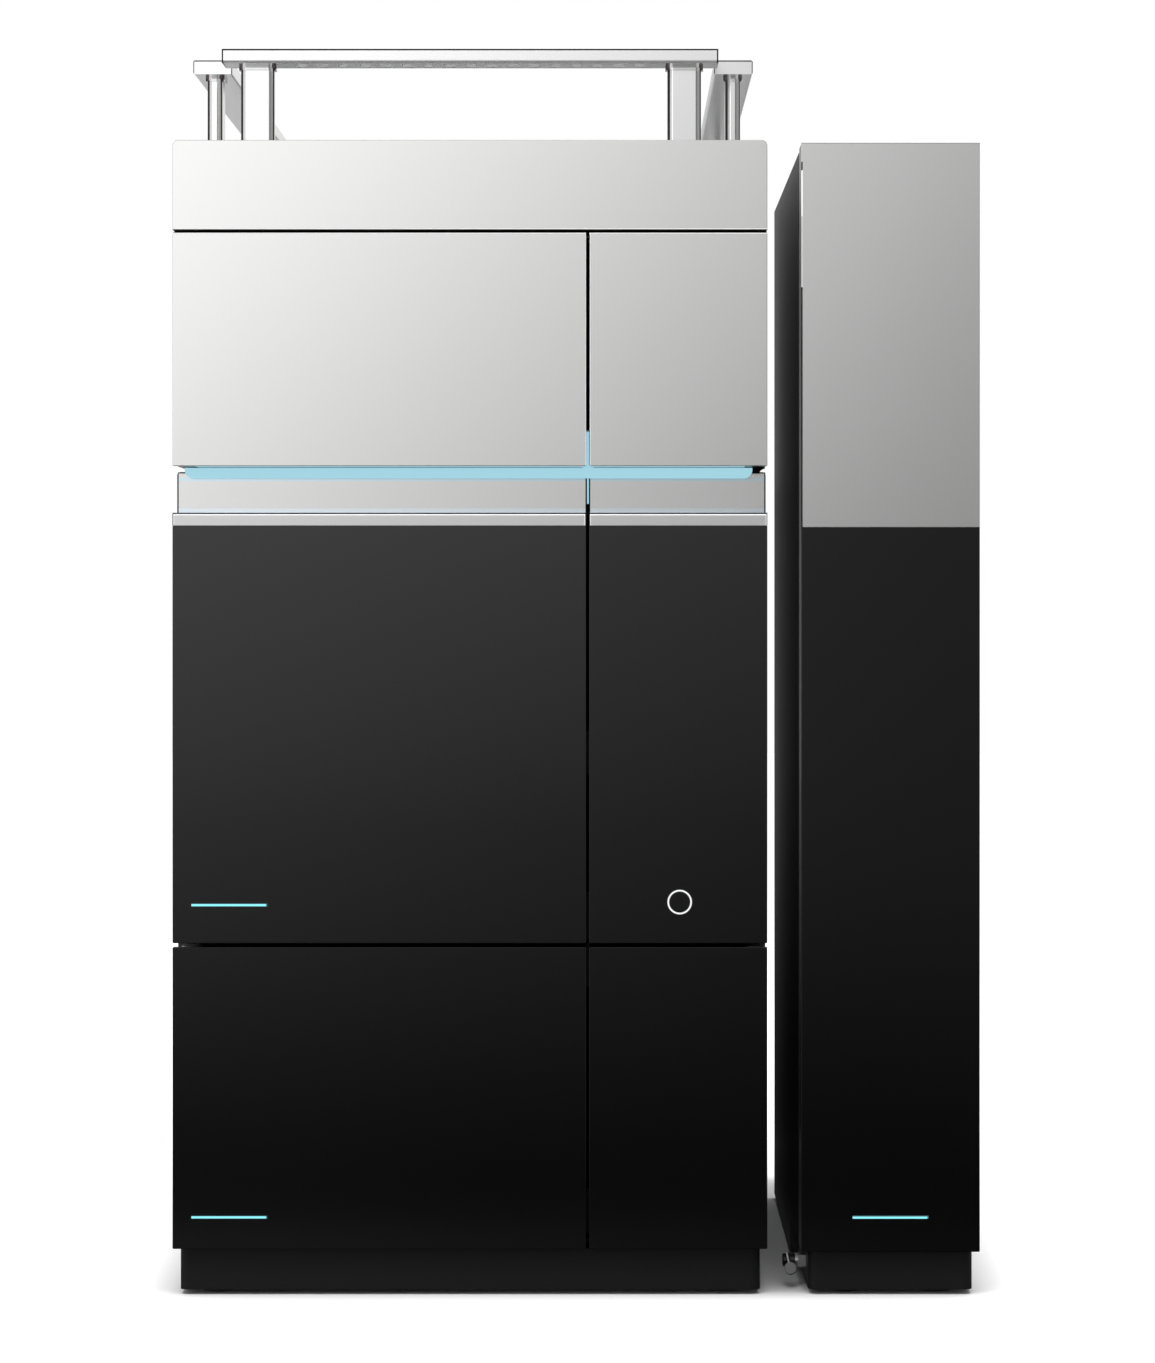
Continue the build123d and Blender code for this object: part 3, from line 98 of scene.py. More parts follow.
class Shader:
    """A node tree of a material or of the world, built from Python expressions."""

    def __init__(self, owner: Any) -> None:
        """Empties the owner's node tree.

        Args:
            owner: The material or world to build in.
        """
        owner.use_nodes = True
        self.tree = owner.node_tree
        self.tree.nodes.clear()

    def node(self, kind: str, settings: dict | None = None, inputs: dict | None = None, output: Any = 0) -> Value:
        """Adds one node.

        Args:
            kind: The node's type.
            settings: Properties set before the sockets, with "stops" for the stops of a colour ramp.
            inputs: Values or links by socket name or number.
            output: Name or number of the socket to return.

        Returns:
            The chosen output, for use in expressions.
        """
        made = self.tree.nodes.new(kind)
        for name, setting in (settings or {}).items():
            if name == "stops":
                self._set_stops(made.color_ramp, setting)
            else:
                setattr(made, name, setting)
        for name, given in (inputs or {}).items():
            socket = made.inputs[name]
            if isinstance(given, Value):
                self.tree.links.new(given.socket, socket)
            elif socket.type == "RGBA" and len(given) == 3:
                socket.default_value = (*given, 1.0)
            else:
                socket.default_value = given
        return Value(self, made.outputs[output]) if len(made.outputs) else Value(self, None)

    @staticmethod
    def _set_stops(ramp: Any, stops: Sequence[tuple[float, Colour]]) -> None:
        """Sets a colour ramp's stops.

        Args:
            ramp: The ramp to set.
            stops: Place and colour of each stop.
        """
        while len(ramp.elements) < len(stops):
            ramp.elements.new(1.0)
        for element, (place, colour) in zip(ramp.elements, stops):
            element.position = place
            element.color = (*colour, 1.0)

    def position(self) -> tuple[Value, Value, Value]:
        """Gives the three parts of the object's own coordinates."""
        return self.split(self.node("ShaderNodeTexCoord", output="Object"))

    def maths(self, operation: str, first: Any, second: Any = 0.0) -> Value:
        """Adds a Math node for an operation that has no sign of its own."""
        return self.node("ShaderNodeMath", {"operation": operation}, {0: first, 1: second})

    def split(self, vector: Value) -> tuple[Value, Value, Value]:
        """Gives a vector's three parts."""
        parts = self.node("ShaderNodeSeparateXYZ", {}, {0: vector}).socket.node
        return tuple(Value(self, socket) for socket in parts.outputs)

    def noise(self, scale: float, detail: float = 2.0, stretch: Point = (1.0, 1.0, 1.0)) -> Value:
        """Adds smooth noise on the object's coordinates.

        Args:
            scale: Cells per metre.
            detail: Number of finer layers.
            stretch: Factor along each axis.

        Returns:
            The noise, from 0 to 1.
        """
        place = self.node("ShaderNodeTexCoord", output="Object")
        drawn = self.node("ShaderNodeMapping", {}, {"Vector": place, "Scale": stretch})
        return self.node("ShaderNodeTexNoise", {}, {"Vector": drawn, "Scale": scale, "Detail": detail}, "Fac")

    @staticmethod
    def along(parts: Sequence[Value], way: Point) -> Value:
        """Measures how far a vector's parts reach along a way."""
        return parts[0] * way[0] + parts[1] * way[1] + parts[2] * way[2]

    def between(self, value: Value, near: float, far: float) -> Value:
        """Gives 1 where a value in metres lies between two lengths in millimetres, and 0 elsewhere."""
        return self.maths("GREATER_THAN", value, near * MM) * self.maths("LESS_THAN", value, far * MM)

    def ramped(self, value: Value, span: tuple[float, float], levels: tuple[float, float],
               smooth: bool = False) -> Value:
        """Runs from one level to another over a span of a value."""
        kind = {"interpolation_type": "SMOOTHSTEP" if smooth else "LINEAR"}
        return self.node("ShaderNodeMapRange", kind, {0: value, 1: span[0], 2: span[1], 3: levels[0], 4: levels[1]})

    def spread(self, amount: Value, low: float, high: float) -> Value:
        """Maps a value from 0..1 to low..high."""
        return amount * (high - low) + low

    def blend(self, amount: Any, first: Any, second: Any) -> Value:
        """Mixes two colours."""
        return self.node("ShaderNodeMix", {"data_type": "RGBA"}, {0: amount, 6: first, 7: second}, 2)

    def bump(self, height: Value, depth: float, strength: float) -> Value:
        """Turns a height into a bumped normal."""
        return self.node("ShaderNodeBump", {}, {"Strength": strength, "Distance": depth, "Height": height}, "Normal")

    def finish(self, sockets: dict) -> None:
        """Adds the surface shader and the material's output."""
        surface = self.node("ShaderNodeBsdfPrincipled", {}, sockets, "BSDF")
        self.node("ShaderNodeOutputMaterial", {}, {"Surface": surface})


class Grain(Enum):
    """Direction in which a metal was brushed or turned."""

    ALONG_X = (0.02, 1.0, 1.0)
    ALONG_Z = (1.0, 1.0, 0.02)
    NONE = (1.0, 1.0, 1.0)


@dataclass(frozen=True)
class Edging:
    """Line along some edges of a panel's front, used to paint in highlights, shade, dark reflections of rounded edges
    and the light guide's glow; its widths are in millimetres.

    The edges are letters: L, R, B and T for the left, right, bottom and top.
    """

    low: Point
    high: Point
    edges: str
    near: float
    far: float
    colour: Colour
    metallic: float = 0.0
    depth: float = 3.0
    span: tuple[float, float] | None = None

    def mask(self, shader: Shader) -> Value:
        """Gives 1 on the line and 0 elsewhere.

        Args:
            shader: The shader under construction.

        Returns:
            The mask.
        """
        across, deep, up = shader.position()
        sides = {"L": across - self.low[0], "R": self.high[0] - across, "B": up - self.low[2], "T": self.high[2] - up}
        nearest = None
        for letter in self.edges:
            nearest = sides[letter] if nearest is None else shader.maths("MINIMUM", nearest, sides[letter])
        marked = shader.between(nearest, self.near, self.far)
        marked = marked * shader.maths("LESS_THAN", deep, self.low[1] + self.depth * MM)
        marked = marked * shader.maths("GREATER_THAN", deep, self.low[1] - MM)
        return marked * shader.between(up, *self.span) if self.span else marked


@dataclass(frozen=True)
class RoundEdging:
    """Ring of another tone round the middle of a front; its radii are in millimetres."""

    middle: Point
    near: float
    far: float
    colour: Colour
    metallic: float = 0.0

    def mask(self, shader: Shader) -> Value:
        """Gives 1 on the ring and 0 elsewhere.

        Args:
            shader: The shader under construction.

        Returns:
            The mask.
        """
        across, _, up = shader.position()
        beside, above = across - self.middle[0], up - self.middle[2]
        return shader.between(shader.maths("SQRT", beside * beside + above * above), self.near, self.far)


@dataclass(frozen=True)
class PaintedSheen:
    """Painted sheen: a paler tone that comes in from one height to another, standing for light on the surface."""

    clear: float
    full: float
    colour: Colour
    metallic: float = 0.0

    def mask(self, shader: Shader) -> Value:
        """Gives the share of the tone."""
        return shader.ramped(shader.position()[2], (self.clear, self.full), (0.0, 1.0))


def toned(colour: Colour, factor: float) -> Colour:
    """Makes a colour darker or lighter."""
    return tuple(min(1.0, channel * factor) for channel in colour)


@dataclass(frozen=True)
class Finish:
    """A finish that becomes one material."""

    name: str
    colour: Colour
    # Marks laid over the colour: painted highlight, shade and glow lines, painted sheen by height, and the unlit bands
    # of the button's ring.
    painted_marks: tuple[Any, ...] = field(default=(), kw_only=True)

    def sockets(self, shader: Shader) -> dict:
        """Gives the values and links of the surface shader."""
        return {"Base Color": self.colour}

    def material(self) -> bpy.types.Material:
        """Builds the finish.

        Returns:
            The material.
        """
        made = bpy.data.materials.new(self.name)
        shader = Shader(made)
        shader.finish(self.sockets(shader))
        return made

    def edged(self, shader: Shader, base: Any, metallic: Any) -> tuple[Any, Any]:
        """Lays the painted marks over the finish: painted highlight, shade and glow lines, painted sheen by height, and
        unlit bands.

        Args:
            shader: The shader under construction.
            base: Colour of the finish.
            metallic: Its share of metal.

        Returns:
            The new colour and share of metal.
        """
        for edging in self.painted_marks:
            mask = edging.mask(shader)
            base = shader.blend(mask, base, edging.colour)
            metallic = (1 - mask) * metallic + mask * edging.metallic
        return base, metallic


@dataclass(frozen=True)
class Lacquer(Finish):
    """Sprayed satin lacquer with a faint orange peel and slight drift of tone."""

    metallic: float
    roughness: float
    drift: float = 0.03
    peel: float = 0.012

    def sockets(self, shader: Shader) -> dict:
        """Gives the values and links of the surface shader.

        Args:
            shader: The shader under construction.

        Returns:
            Sockets by name.
        """
        cloud, peel = shader.noise(7.0, 3.0), shader.noise(900.0, 2.0)
        tone = shader.blend(cloud, toned(self.colour, 1 - self.drift), toned(self.colour, 1 + self.drift))
        base, metallic = self.edged(shader, tone, self.metallic)
        return {"Base Color": base, "Metallic": metallic,
                "Roughness": shader.spread(cloud, self.roughness * 0.96, self.roughness * 1.04),
                "Normal": shader.bump(peel, 0.05 * MM, self.peel)}


@dataclass(frozen=True)
class PowderCoat(Finish):
    """Textured powder coat or moulded plastic with a fine leathery grain."""

    roughness: float
    grain: float = 1400.0
    relief: float = 0.25
    specular: float = 0.5

    def sockets(self, shader: Shader) -> dict:
        """Gives the values and links of the surface shader.

        Args:
            shader: The shader under construction.

        Returns:
            Sockets by name.
        """
        grain, cloud = shader.noise(self.grain, 3.0), shader.noise(9.0, 2.0)
        tone = shader.blend(cloud, toned(self.colour, 0.92), toned(self.colour, 1.08))
        return {"Base Color": self.edged(shader, tone, 0.0)[0],
                "Roughness": shader.spread(grain, self.roughness - 0.06, self.roughness + 0.06),
                "Specular IOR Level": self.specular, "Normal": shader.bump(grain, 0.08 * MM, self.relief)}


@dataclass(frozen=True)
class Metal(Finish):
    """Bare, brushed or plated metal."""

    roughness: float
    grain: Grain = Grain.NONE
    relief: float = 0.08
    metallic: float = 1.0

    def sockets(self, shader: Shader) -> dict:
        """Gives the values and links of the surface shader.

        Args:
            shader: The shader under construction.

        Returns:
            Sockets by name.
        """
        lines, cloud = shader.noise(2600.0, 2.0, self.grain.value), shader.noise(14.0, 2.0)
        tone = shader.blend(cloud * lines, self.colour, toned(self.colour, 0.93))
        base, metallic = self.edged(shader, tone, self.metallic)
        return {"Base Color": base, "Metallic": metallic,
                "Roughness": shader.spread(lines, self.roughness * 0.85, self.roughness * 1.15),
                "Normal": shader.bump(lines, 0.03 * MM, self.relief)}


@dataclass(frozen=True)
class LitAcrylic(Finish):
    """Acrylic lit from inside."""

    glow: float
    roughness: float = 0.35

    def sockets(self, shader: Shader) -> dict:
        """Gives the values and links of the surface shader.

        Args:
            shader: The shader under construction.

        Returns:
            Sockets by name.
        """
        glow = shader.blend(shader.noise(11.0, 1.0), toned(self.colour, 0.96), self.colour)
        return {"Base Color": toned(self.colour, 0.15), "Roughness": self.roughness,
                "Emission Color": self.edged(shader, glow, 0.0)[0], "Emission Strength": self.glow}


@dataclass(frozen=True)
class Glass(Finish):
    """Tinted glass of a sample vial."""

    roughness: float = 0.05

    def sockets(self, shader: Shader) -> dict:
        """Gives the values and links of the surface shader.

        Args:
            shader: The shader under construction.

        Returns:
            Sockets by name.
        """
        drift = shader.noise(60.0, 1.0)
        return {"Base Color": shader.blend(drift, toned(self.colour, 0.8), self.colour),
                "Roughness": shader.spread(drift, self.roughness, self.roughness * 2), "Coat Weight": 0.6}


SILVER = Lacquer("silver_lacquer", (0.80, 0.80, 0.795), 1.0, 0.22, 0.01)
GRAPHITE = Lacquer("graphite_lacquer", (0.0009, 0.00095, 0.00095), 0.0, 0.20, 0.08, 0.01)
# Painted sheen on the sampler doors: the graphite lacquer grows paler from 0.33 m up to the doors' top, more on the
# left door.
GRAPHITE_STRONG_SHEEN = replace(GRAPHITE, name="graphite_lacquer_strong_sheen",
                         painted_marks=(PaintedSheen(0.33, 0.543, (0.0138, 0.0143, 0.0138)),))
GRAPHITE_SHEEN = replace(GRAPHITE, name="graphite_lacquer_sheen",
                        painted_marks=(PaintedSheen(0.33, 0.543, (0.0095, 0.010, 0.0095)),))
TRIM = Metal("satin_trim", (0.80, 0.80, 0.80), 0.32, Grain.ALONG_X)
CASE = PowderCoat("case_powder_coat", (0.022, 0.0225, 0.023), 0.46)
PALE_CASE = PowderCoat("pale_powder_coat", (0.42, 0.42, 0.42), 0.5)
# Painted light on the plinths: their plastic grows paler towards the bottom, where the pale floor lights it.
PLINTH = PowderCoat("plinth_plastic", (0.0022, 0.0022, 0.0023), 0.36, 1100.0, 0.12, 0.24,
                    painted_marks=(PaintedSheen(0.0325, 0.012, (0.0085, 0.0085, 0.0085)),))
RUBBER = PowderCoat("foot_rubber", (0.018, 0.018, 0.018), 0.85, 700.0, 0.4)
RAIL = Metal("rail_aluminium", (0.90, 0.90, 0.90), 0.22, Grain.ALONG_X, 0.02)
POST = Metal("post_aluminium", (0.88, 0.88, 0.88), 0.20, Grain.ALONG_Z, 0.02)
SHEET = Metal("galvanised_sheet", (0.55, 0.56, 0.57), 0.45, Grain.ALONG_X, 0.1)
BAY = PowderCoat("bay_plastic", (0.34, 0.35, 0.36), 0.5, 1000.0, 0.2)
BLACK_PLASTIC = PowderCoat("black_plastic", (0.012, 0.012, 0.012), 0.42, 1200.0, 0.2)
LIGHT = LitAcrylic("lit_acrylic", (0.366, 0.665, 0.775), 0.91)
BAR = LitAcrylic("lit_bar", (0.27, 0.90, 1.0), 1.0)
RING = LitAcrylic("lit_ring", (0.86, 0.87, 0.86), 0.95)
BUTTON = Lacquer("button_plastic", (0.001, 0.001, 0.001), 0.0, 0.22, 0.05)
ZINC = Metal("zinc_plate", (0.62, 0.63, 0.65), 0.34)
STEEL = Metal("turned_steel", (0.66, 0.66, 0.67), 0.24, Grain.ALONG_Z)
WHITE_PLASTIC = PowderCoat("white_plastic", (0.70, 0.70, 0.69), 0.38, 1200.0, 0.12)
MACHINED = Metal("machined_aluminium", (0.72, 0.73, 0.74), 0.34, Grain.ALONG_X)
AMBER = Glass("amber_glass", (0.30, 0.12, 0.025))
CHROME = Metal("bright_plate", (0.78, 0.78, 0.79), 0.10)
TAP_BLACK = PowderCoat("tap_plastic", (0.006, 0.006, 0.006), 0.32, 900.0, 0.1)
TAP_GREY = PowderCoat("tap_grey", (0.17, 0.172, 0.172), 0.5, 900.0, 0.1)
TAP_PALE = PowderCoat("tap_pale", (0.42, 0.42, 0.42), 0.4, 900.0, 0.1)
TAP_METAL = Metal("tap_nickel", (0.52, 0.52, 0.52), 0.30, metallic=0.8)
# Near-black rubber of the seals behind the front's gaps and of the light guide's end cap; it also stands in for the
# shade in those gaps and under the corner of the door above the guide.
SEAL_AND_SHADE_BLACK = PowderCoat("seal_rubber", (0.0012, 0.0012, 0.0013), 0.9, 700.0, 0.3, 0.1)
MAT = PowderCoat("mat_rubber", (0.035, 0.037, 0.04), 0.8, 800.0, 0.4)
LINER = PowderCoat("liner_sheet", (0.55, 0.56, 0.56), 0.45, 1200.0, 0.15)
BOLT = Metal("bolt_steel", (0.55, 0.55, 0.56), 0.28)
BRASS = Metal("gilt_brass", (0.80, 0.60, 0.28), 0.25)
PEEK = PowderCoat("fitting_polymer", (0.55, 0.40, 0.22), 0.4, 900.0, 0.1)
CLEAR_LINE = PowderCoat("solvent_line", (0.62, 0.64, 0.66), 0.25, 700.0, 0.05)
CAP_BLUE = PowderCoat("cap_blue", (0.02, 0.10, 0.34), 0.38, 1200.0, 0.15)
LATCH = PowderCoat("latch_black", (0.012, 0.012, 0.012), 0.5, 900.0, 0.1)

NODE_FINISHES: dict[Finish, tuple[str, ...]] = {
    SILVER: ("tray_front_panel", "detector_door_left", "detector_door_right", "tower_upper_panel",
             "recess_fascia_left", "recess_fascia_right"),
    TRIM: ("sampler_trim_left", "sampler_trim_right"),
    GRAPHITE: ("pump_door_left", "pump_door_right", "tower_door"),
    GRAPHITE_STRONG_SHEEN: ("sampler_door_left",),
    GRAPHITE_SHEEN: ("sampler_door_right",),
    CASE: ("pump_housing", "sampler_housing", "tower_housing", "stacking_spacers"),
    PALE_CASE: ("detector_housing", "solvent_tray"),
    PLINTH: ("stack_plinth", "tower_plinth"),
    RUBBER: ("rubber_feet",),
    RAIL: ("tray_rails",),
    POST: ("rail_posts",),
    SHEET: ("pump_rear_panel", "sampler_rear_panel", "detector_rear_panel", "tower_rear_panel"),
    BAY: ("pump_inner_panel", "sampler_inner_panel", "detector_inner_panel"),
    BLACK_PLASTIC: ("mains_inlets", "fan_frame", "fan_rotor", "purge_knob"),
    LIGHT: ("light_guide",),
    BAR: ("pump_status_bar", "sampler_status_bar", "tower_status_bar"),
    RING: ("button_light_ring",),
    BUTTON: ("power_button",),
    ZINC: ("hinge_brackets", "hinge_pins"),
    LATCH: ("door_catches",),
    STEEL: ("pump_heads", "mixer", "injection_valve", "columns"),
    WHITE_PLASTIC: ("degasser", "carousel"),
    MACHINED: ("carousel_drive", "needle_carriage", "needle_head", "lamp_housing", "flow_cell", "heater_block",
               "syringe"),
    AMBER: ("sample_vials",),
    TAP_METAL: ("drain_tap_body",),
    TAP_BLACK: ("drain_tap_lever",),
}


# Colours of painted marks, in order: a painted highlight beside gaps, a painted highlight at the trims' ends, and a
# near-black that paints shade along edges and gaps and also colours the unlit bands of the button's ring.
RIM: Colour = (0.78, 0.78, 0.78)
END_HIGHLIGHT: Colour = (0.93, 0.93, 0.93)
SHADE_AND_UNLIT_BLACK: Colour = (0.012, 0.016, 0.018)
EDGE = -1.0


def edged(node: str, finish: Finish, *lines: tuple) -> tuple[str, Finish]:
    """Gives a finish the painted lines of light and shade along the edges of one panel.

    Args:
        node: The panel's node.
        finish: Its finish.
        lines: Edges, near and far side in millimetres, colour and share of metal of each line.

    Returns:
        The node and its finish.
    """
    low, high = (tuple(corner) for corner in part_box(node))
    made = tuple(Edging(low, high, *line) for line in lines)
    return node, replace(finish, name=f"{finish.name}_{node}", painted_marks=made)


def shade_line(edge: str, width: float) -> tuple:
    """Gives a line of painted shade along an edge, which widens the dark of the gap and of the rounded edge there."""
    return edge, EDGE, width, SHADE_AND_UNLIT_BLACK, 1.0


def shade_and_highlight(edge: str, width: float, rim: float) -> tuple:
    """Gives a line of painted shade along an edge with a painted highlight beside it."""
    return (edge, width, rim, RIM, 0.0), shade_line(edge, width)


def edged_fronts() -> list[tuple[str, Finish]]:
    """Lists the fronts with painted marks: painted highlights and shade along their edges, the light guide's painted
    glow on the fascias, and the ring's unlit bands.

    Returns:
        Nodes with their finishes.
    """
    # Painted light and shade along the tower panel's left edge, from the bottom up: dark, grey, white, then dark.
    left_edge_light_and_shade = ((SHADE_AND_UNLIT_BLACK, 1.0, (541.0, 711.5)), ((0.60, 0.60, 0.60), 0.0, (711.5, 761.5)),
                 (WHITE, 0.0, (761.5, 794.0)), (SHADE_AND_UNLIT_BLACK, 1.0, (794.0, 800.0)))
    # Painted highlights and shade lines beside the gaps, and a painted dark line along the tower panel's top.
    panels = [edged("tray_front_panel", SILVER, *shade_and_highlight("B", 0.45, 1.15)),
              edged("detector_door_left", SILVER, ("R", EDGE, 0.5, RIM, 0.0), *shade_and_highlight("T", 0.4, 1.1)),
              edged("detector_door_right", SILVER, *shade_and_highlight("L", 0.45, 0.95), *shade_and_highlight("T", 0.4, 1.1)),
              edged("tower_upper_panel", SILVER, ("T", EDGE, 0.6, (0.42, 0.42, 0.42), 1.0),
                    *(("L", EDGE, 0.9, tone, share, 3.0, span) for tone, share, span in left_edge_light_and_shade))]
    # Painted cyan glow of the light guide on the fascias near their bottom and top edges, and painted shade lines along
    # their inner, outer and top edges.
    painted_guide_glow = ("B", EDGE, 3.2, (0.80, 0.89, 0.95), 1.0), ("T", 4.0, 6.4, (0.70, 0.84, 0.91), 1.0)
    for side, outer, inner in (("left", "L", "R"), ("right", "R", "L")):
        panels.append(edged(f"recess_fascia_{side}", SILVER, *painted_guide_glow, shade_line(inner, 0.6), shade_line(outer + "T", 1.0)))
        # Painted highlights at the trims' ends and under their top edge, with painted shade lines along those edges.
        panels.append(edged(f"sampler_trim_{side}", TRIM, ("LR", 0.6, 1.1, END_HIGHLIGHT, 0.0), ("T", 1.0, 1.9, WHITE, 0.0),
                            shade_line("T", 1.0), shade_line("LR", 0.6)))
    # Painted shade lines along the status bars' edges.
    for name, top, low in (("pump", 0.45, 0.3), ("sampler", 0.45, 0.3), ("tower", 0.75, 0.0)):
        panels.append(edged(f"{name}_status_bar", BAR, shade_line("T", top), shade_line("B", low), shade_line("R", 0.9)))
    middle = tuple(sum(pair) / 2 for pair in zip(*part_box("button_light_ring")))
    bands = RoundEdging(middle, 0.0, 7.5, SHADE_AND_UNLIT_BLACK), RoundEdging(middle, 8.65, 12.0, SHADE_AND_UNLIT_BLACK)
    return panels + [("button_light_ring", replace(RING, painted_marks=bands))]


def edged_railing() -> list[tuple[str, Finish]]:
    """Lists the railing's nodes with painted light and shade: dark lines along the edges of the rails and posts, a grey
    line under the front rail's face, and paler bottoms in its slots.

    Returns:
        Nodes with their finishes.
    """
    front = metres((-250.5, -247.0, 870.4)), metres((100.5, -219.0, 880.4))
    slots = metres((-250.5, -241.2, 870.4)), metres((100.5, -224.8, 880.4))
    # Painted shade along the front rail's edges, and painted light in its slots.
    rail_light_and_shade = [Edging(*front, "B", EDGE, 2.0, (0.55, 0.55, 0.55), 0.6), Edging(*front, *shade_line("T", 1.35)),
                Edging(*front, *shade_line("LR", 1.0)), Edging(*slots, "B", 0.3, 5.0, (0.75, 0.75, 0.75), 0.0, 17.0)]
    # Painted shade along the side rails' top and side edges.
    for left, right in ((-277.0, -249.0), (99.0, 127.0)):
        corners = metres((left, -193.0, 870.4)), metres((right, 242.0, 880.4))
        rail_light_and_shade += [Edging(*corners, "T", EDGE, 1.0, (0.10, 0.10, 0.10), 1.0),
                     Edging(*corners, "LR", EDGE, 0.8, (0.16, 0.16, 0.16), 1.0)]
    # Painted shade along the posts' sides and under their tops.
    shade, sides = (0.08, 0.07, 0.07), []
    posts = ((-238.7, 24.0, -233.0), (64.7, 24.0, -233.0), (-268.5, 11.0, -180.0), (107.5, 11.0, -180.0))
    for left, wide, ahead in posts:
        corners = metres((left, ahead, 757.0)), metres((left + wide, ahead + 11.0, 871.0))
        sides += [Edging(*corners, "L", EDGE, 2.0, shade, 1.0), Edging(*corners, "R", EDGE, 1.1, shade, 1.0),
                  Edging(*corners, "T", EDGE, 2.4, (0.14, 0.12, 0.12), 1.0)]
    return [("tray_rails", replace(RAIL, painted_marks=tuple(rail_light_and_shade))),
            ("rail_posts", replace(POST, painted_marks=tuple(sides)))]


class Finishes:
    """Keeps one material for each finish."""

    def __init__(self) -> None:
        """Starts with no material made."""
        self._made: dict[Finish, bpy.types.Material] = {}

    def get(self, finish: Finish) -> bpy.types.Material:
        """Gives a finish's material, making it at first use.

        Args:
            finish: The finish.

        Returns:
            Its material.
        """
        if finish not in self._made:
            self._made[finish] = finish.material()
        return self._made[finish]

    def dress(self, node: str, finish: Finish) -> None:
        """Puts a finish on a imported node."""
        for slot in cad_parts[node].material_slots:
            slot.material = self.get(finish)

    def dress_all(self) -> None:
        """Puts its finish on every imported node."""
        for finish, nodes in NODE_FINISHES.items():
            for node in nodes:
                self.dress(node, finish)
        for node, finish in edged_fronts() + edged_railing():
            self.dress(node, finish)
        log.info("finishes on %d packed nodes", sum(len(nodes) for nodes in NODE_FINISHES.values()))


# ---------------------------------------------------------------- mesh building
SHARP = math.radians(32)
BEND_STEPS = 6
TUBE_SIDES = 10


class Facing(Enum):
    """Way that a fitting points, as the turn from straight up."""

    UP = (0.0, 0.0, 0.0)
    DOWN = (math.pi, 0.0, 0.0)
    FRONT = (math.pi / 2, 0.0, 0.0)
    BACK = (-math.pi / 2, 0.0, 0.0)


def metres(point: Sequence[float]) -> Point:
    """Turns a point in millimetres into metres."""
    return tuple(value * MM for value in point)


@dataclass(frozen=True)
class Place:
    """Where a piece belongs: its moving body and the record's slot."""

    body: str
    slot: str


@dataclass(frozen=True)
class Stud:
    """Head of a screw, bolt, nut or fitting; its socket's radius and depth are shares of the head's."""

    radius: float
    height: float
    finish: Finish
    sides: int = 16
    socket: float = 0.5
    depth: float = 0.5


@dataclass(frozen=True)
class Pipe:
    """Rigid tube and the radius of its bends."""

    radius: float
    bend: float
    finish: Finish


class Form:
    """A mesh under construction, in millimetres, at its own place in the frame."""

    def __init__(self, name: str) -> None:
        """Starts an empty mesh."""
        self.name = name
        self.mesh = bmesh.new()

    def block(self, low: Point, high: Point, edge: float = 0.0, segments: int = 2) -> None:
        """Adds a block with rounded edges.

        Args:
            low: Lowest corner.
            high: Highest corner.
            edge: Radius of its edges.
            segments: Steps of the rounding.
        """
        verts = bmesh.ops.create_cube(self.mesh, size=1.0)["verts"]
        for vert in verts:
            vert.co = Vector((a + b) / 2 + (b - a) * v for a, b, v in zip(low, high, vert.co))
        if edge > 0:
            edges = list({one for vert in verts for one in vert.link_edges})
            bmesh.ops.bevel(self.mesh, geom=edges, offset=edge, segments=segments, profile=0.5, affect="EDGES")

    def prism(self, outline: Sequence[tuple[float, float]], y: tuple[float, float], edge: float = 0.0) -> None:
        """Adds a plate whose outline stands in the XZ plane.

        Args:
            outline: Corners in X and Z.
            y: Its front and back.
            edge: Radius of its edges.
        """
        face = self.mesh.faces.new([self.mesh.verts.new((x, y[0], z)) for x, z in outline])
        grown = bmesh.ops.extrude_face_region(self.mesh, geom=[face])["geom"]
        moved = [item for item in grown if isinstance(item, bmesh.types.BMVert)]
        bmesh.ops.translate(self.mesh, verts=moved, vec=(0.0, y[1] - y[0], 0.0))
        if edge > 0:
            edges = list({one for vert in moved for one in vert.link_edges} | set(face.edges))
            bmesh.ops.bevel(self.mesh, geom=edges, offset=edge, segments=2, profile=0.5, affect="EDGES")

    def turned(self, profile: Sequence[tuple[float, float]], at: Point, facing: Facing, sides: int = 32) -> None:
        """Adds a body of revolution.

        Args:
            profile: Radius and height of each ring, from the foot up.
            at: Middle of the foot.
            facing: Way that its top points.
            sides: Steps round the axis.
        """
        turn = Matrix.Translation(at) @ Euler(facing.value).to_matrix().to_4x4()
        circles = []
        for radius, height in profile:
            angles = [2 * math.pi * step / sides for step in range(sides if radius > 0 else 1)]
            places = [Vector((radius * math.cos(angle), radius * math.sin(angle), height)) for angle in angles]
            circles.append([self.mesh.verts.new(turn @ place) for place in places])
        for lower, upper in zip(circles, circles[1:]):
            for step in range(sides):
                after = (step + 1) % sides
                around = [lower[step % len(lower)], lower[after % len(lower)], upper[after % len(upper)],
                          upper[step % len(upper)]]
                self.mesh.faces.new(list(dict.fromkeys(around)))
        for circle in (circles[0], circles[-1]):
            if len(circle) > 1:
                self.mesh.faces.new(circle)

    def make(self, finish: bpy.types.Material, place: Place) -> bpy.types.Object:
        """Turns the mesh into a finished piece.

        Args:
            finish: Its material.
            place: Its body and slot.

        Returns:
            The piece.
        """
        bmesh.ops.recalc_face_normals(self.mesh, faces=self.mesh.faces)
        bmesh.ops.scale(self.mesh, vec=(MM, MM, MM), verts=self.mesh.verts)
        made = bpy.data.meshes.new(self.name)
        self.mesh.to_mesh(made)
        self.mesh.free()
        made.materials.append(finish)
        return finished(self.name, made, place)


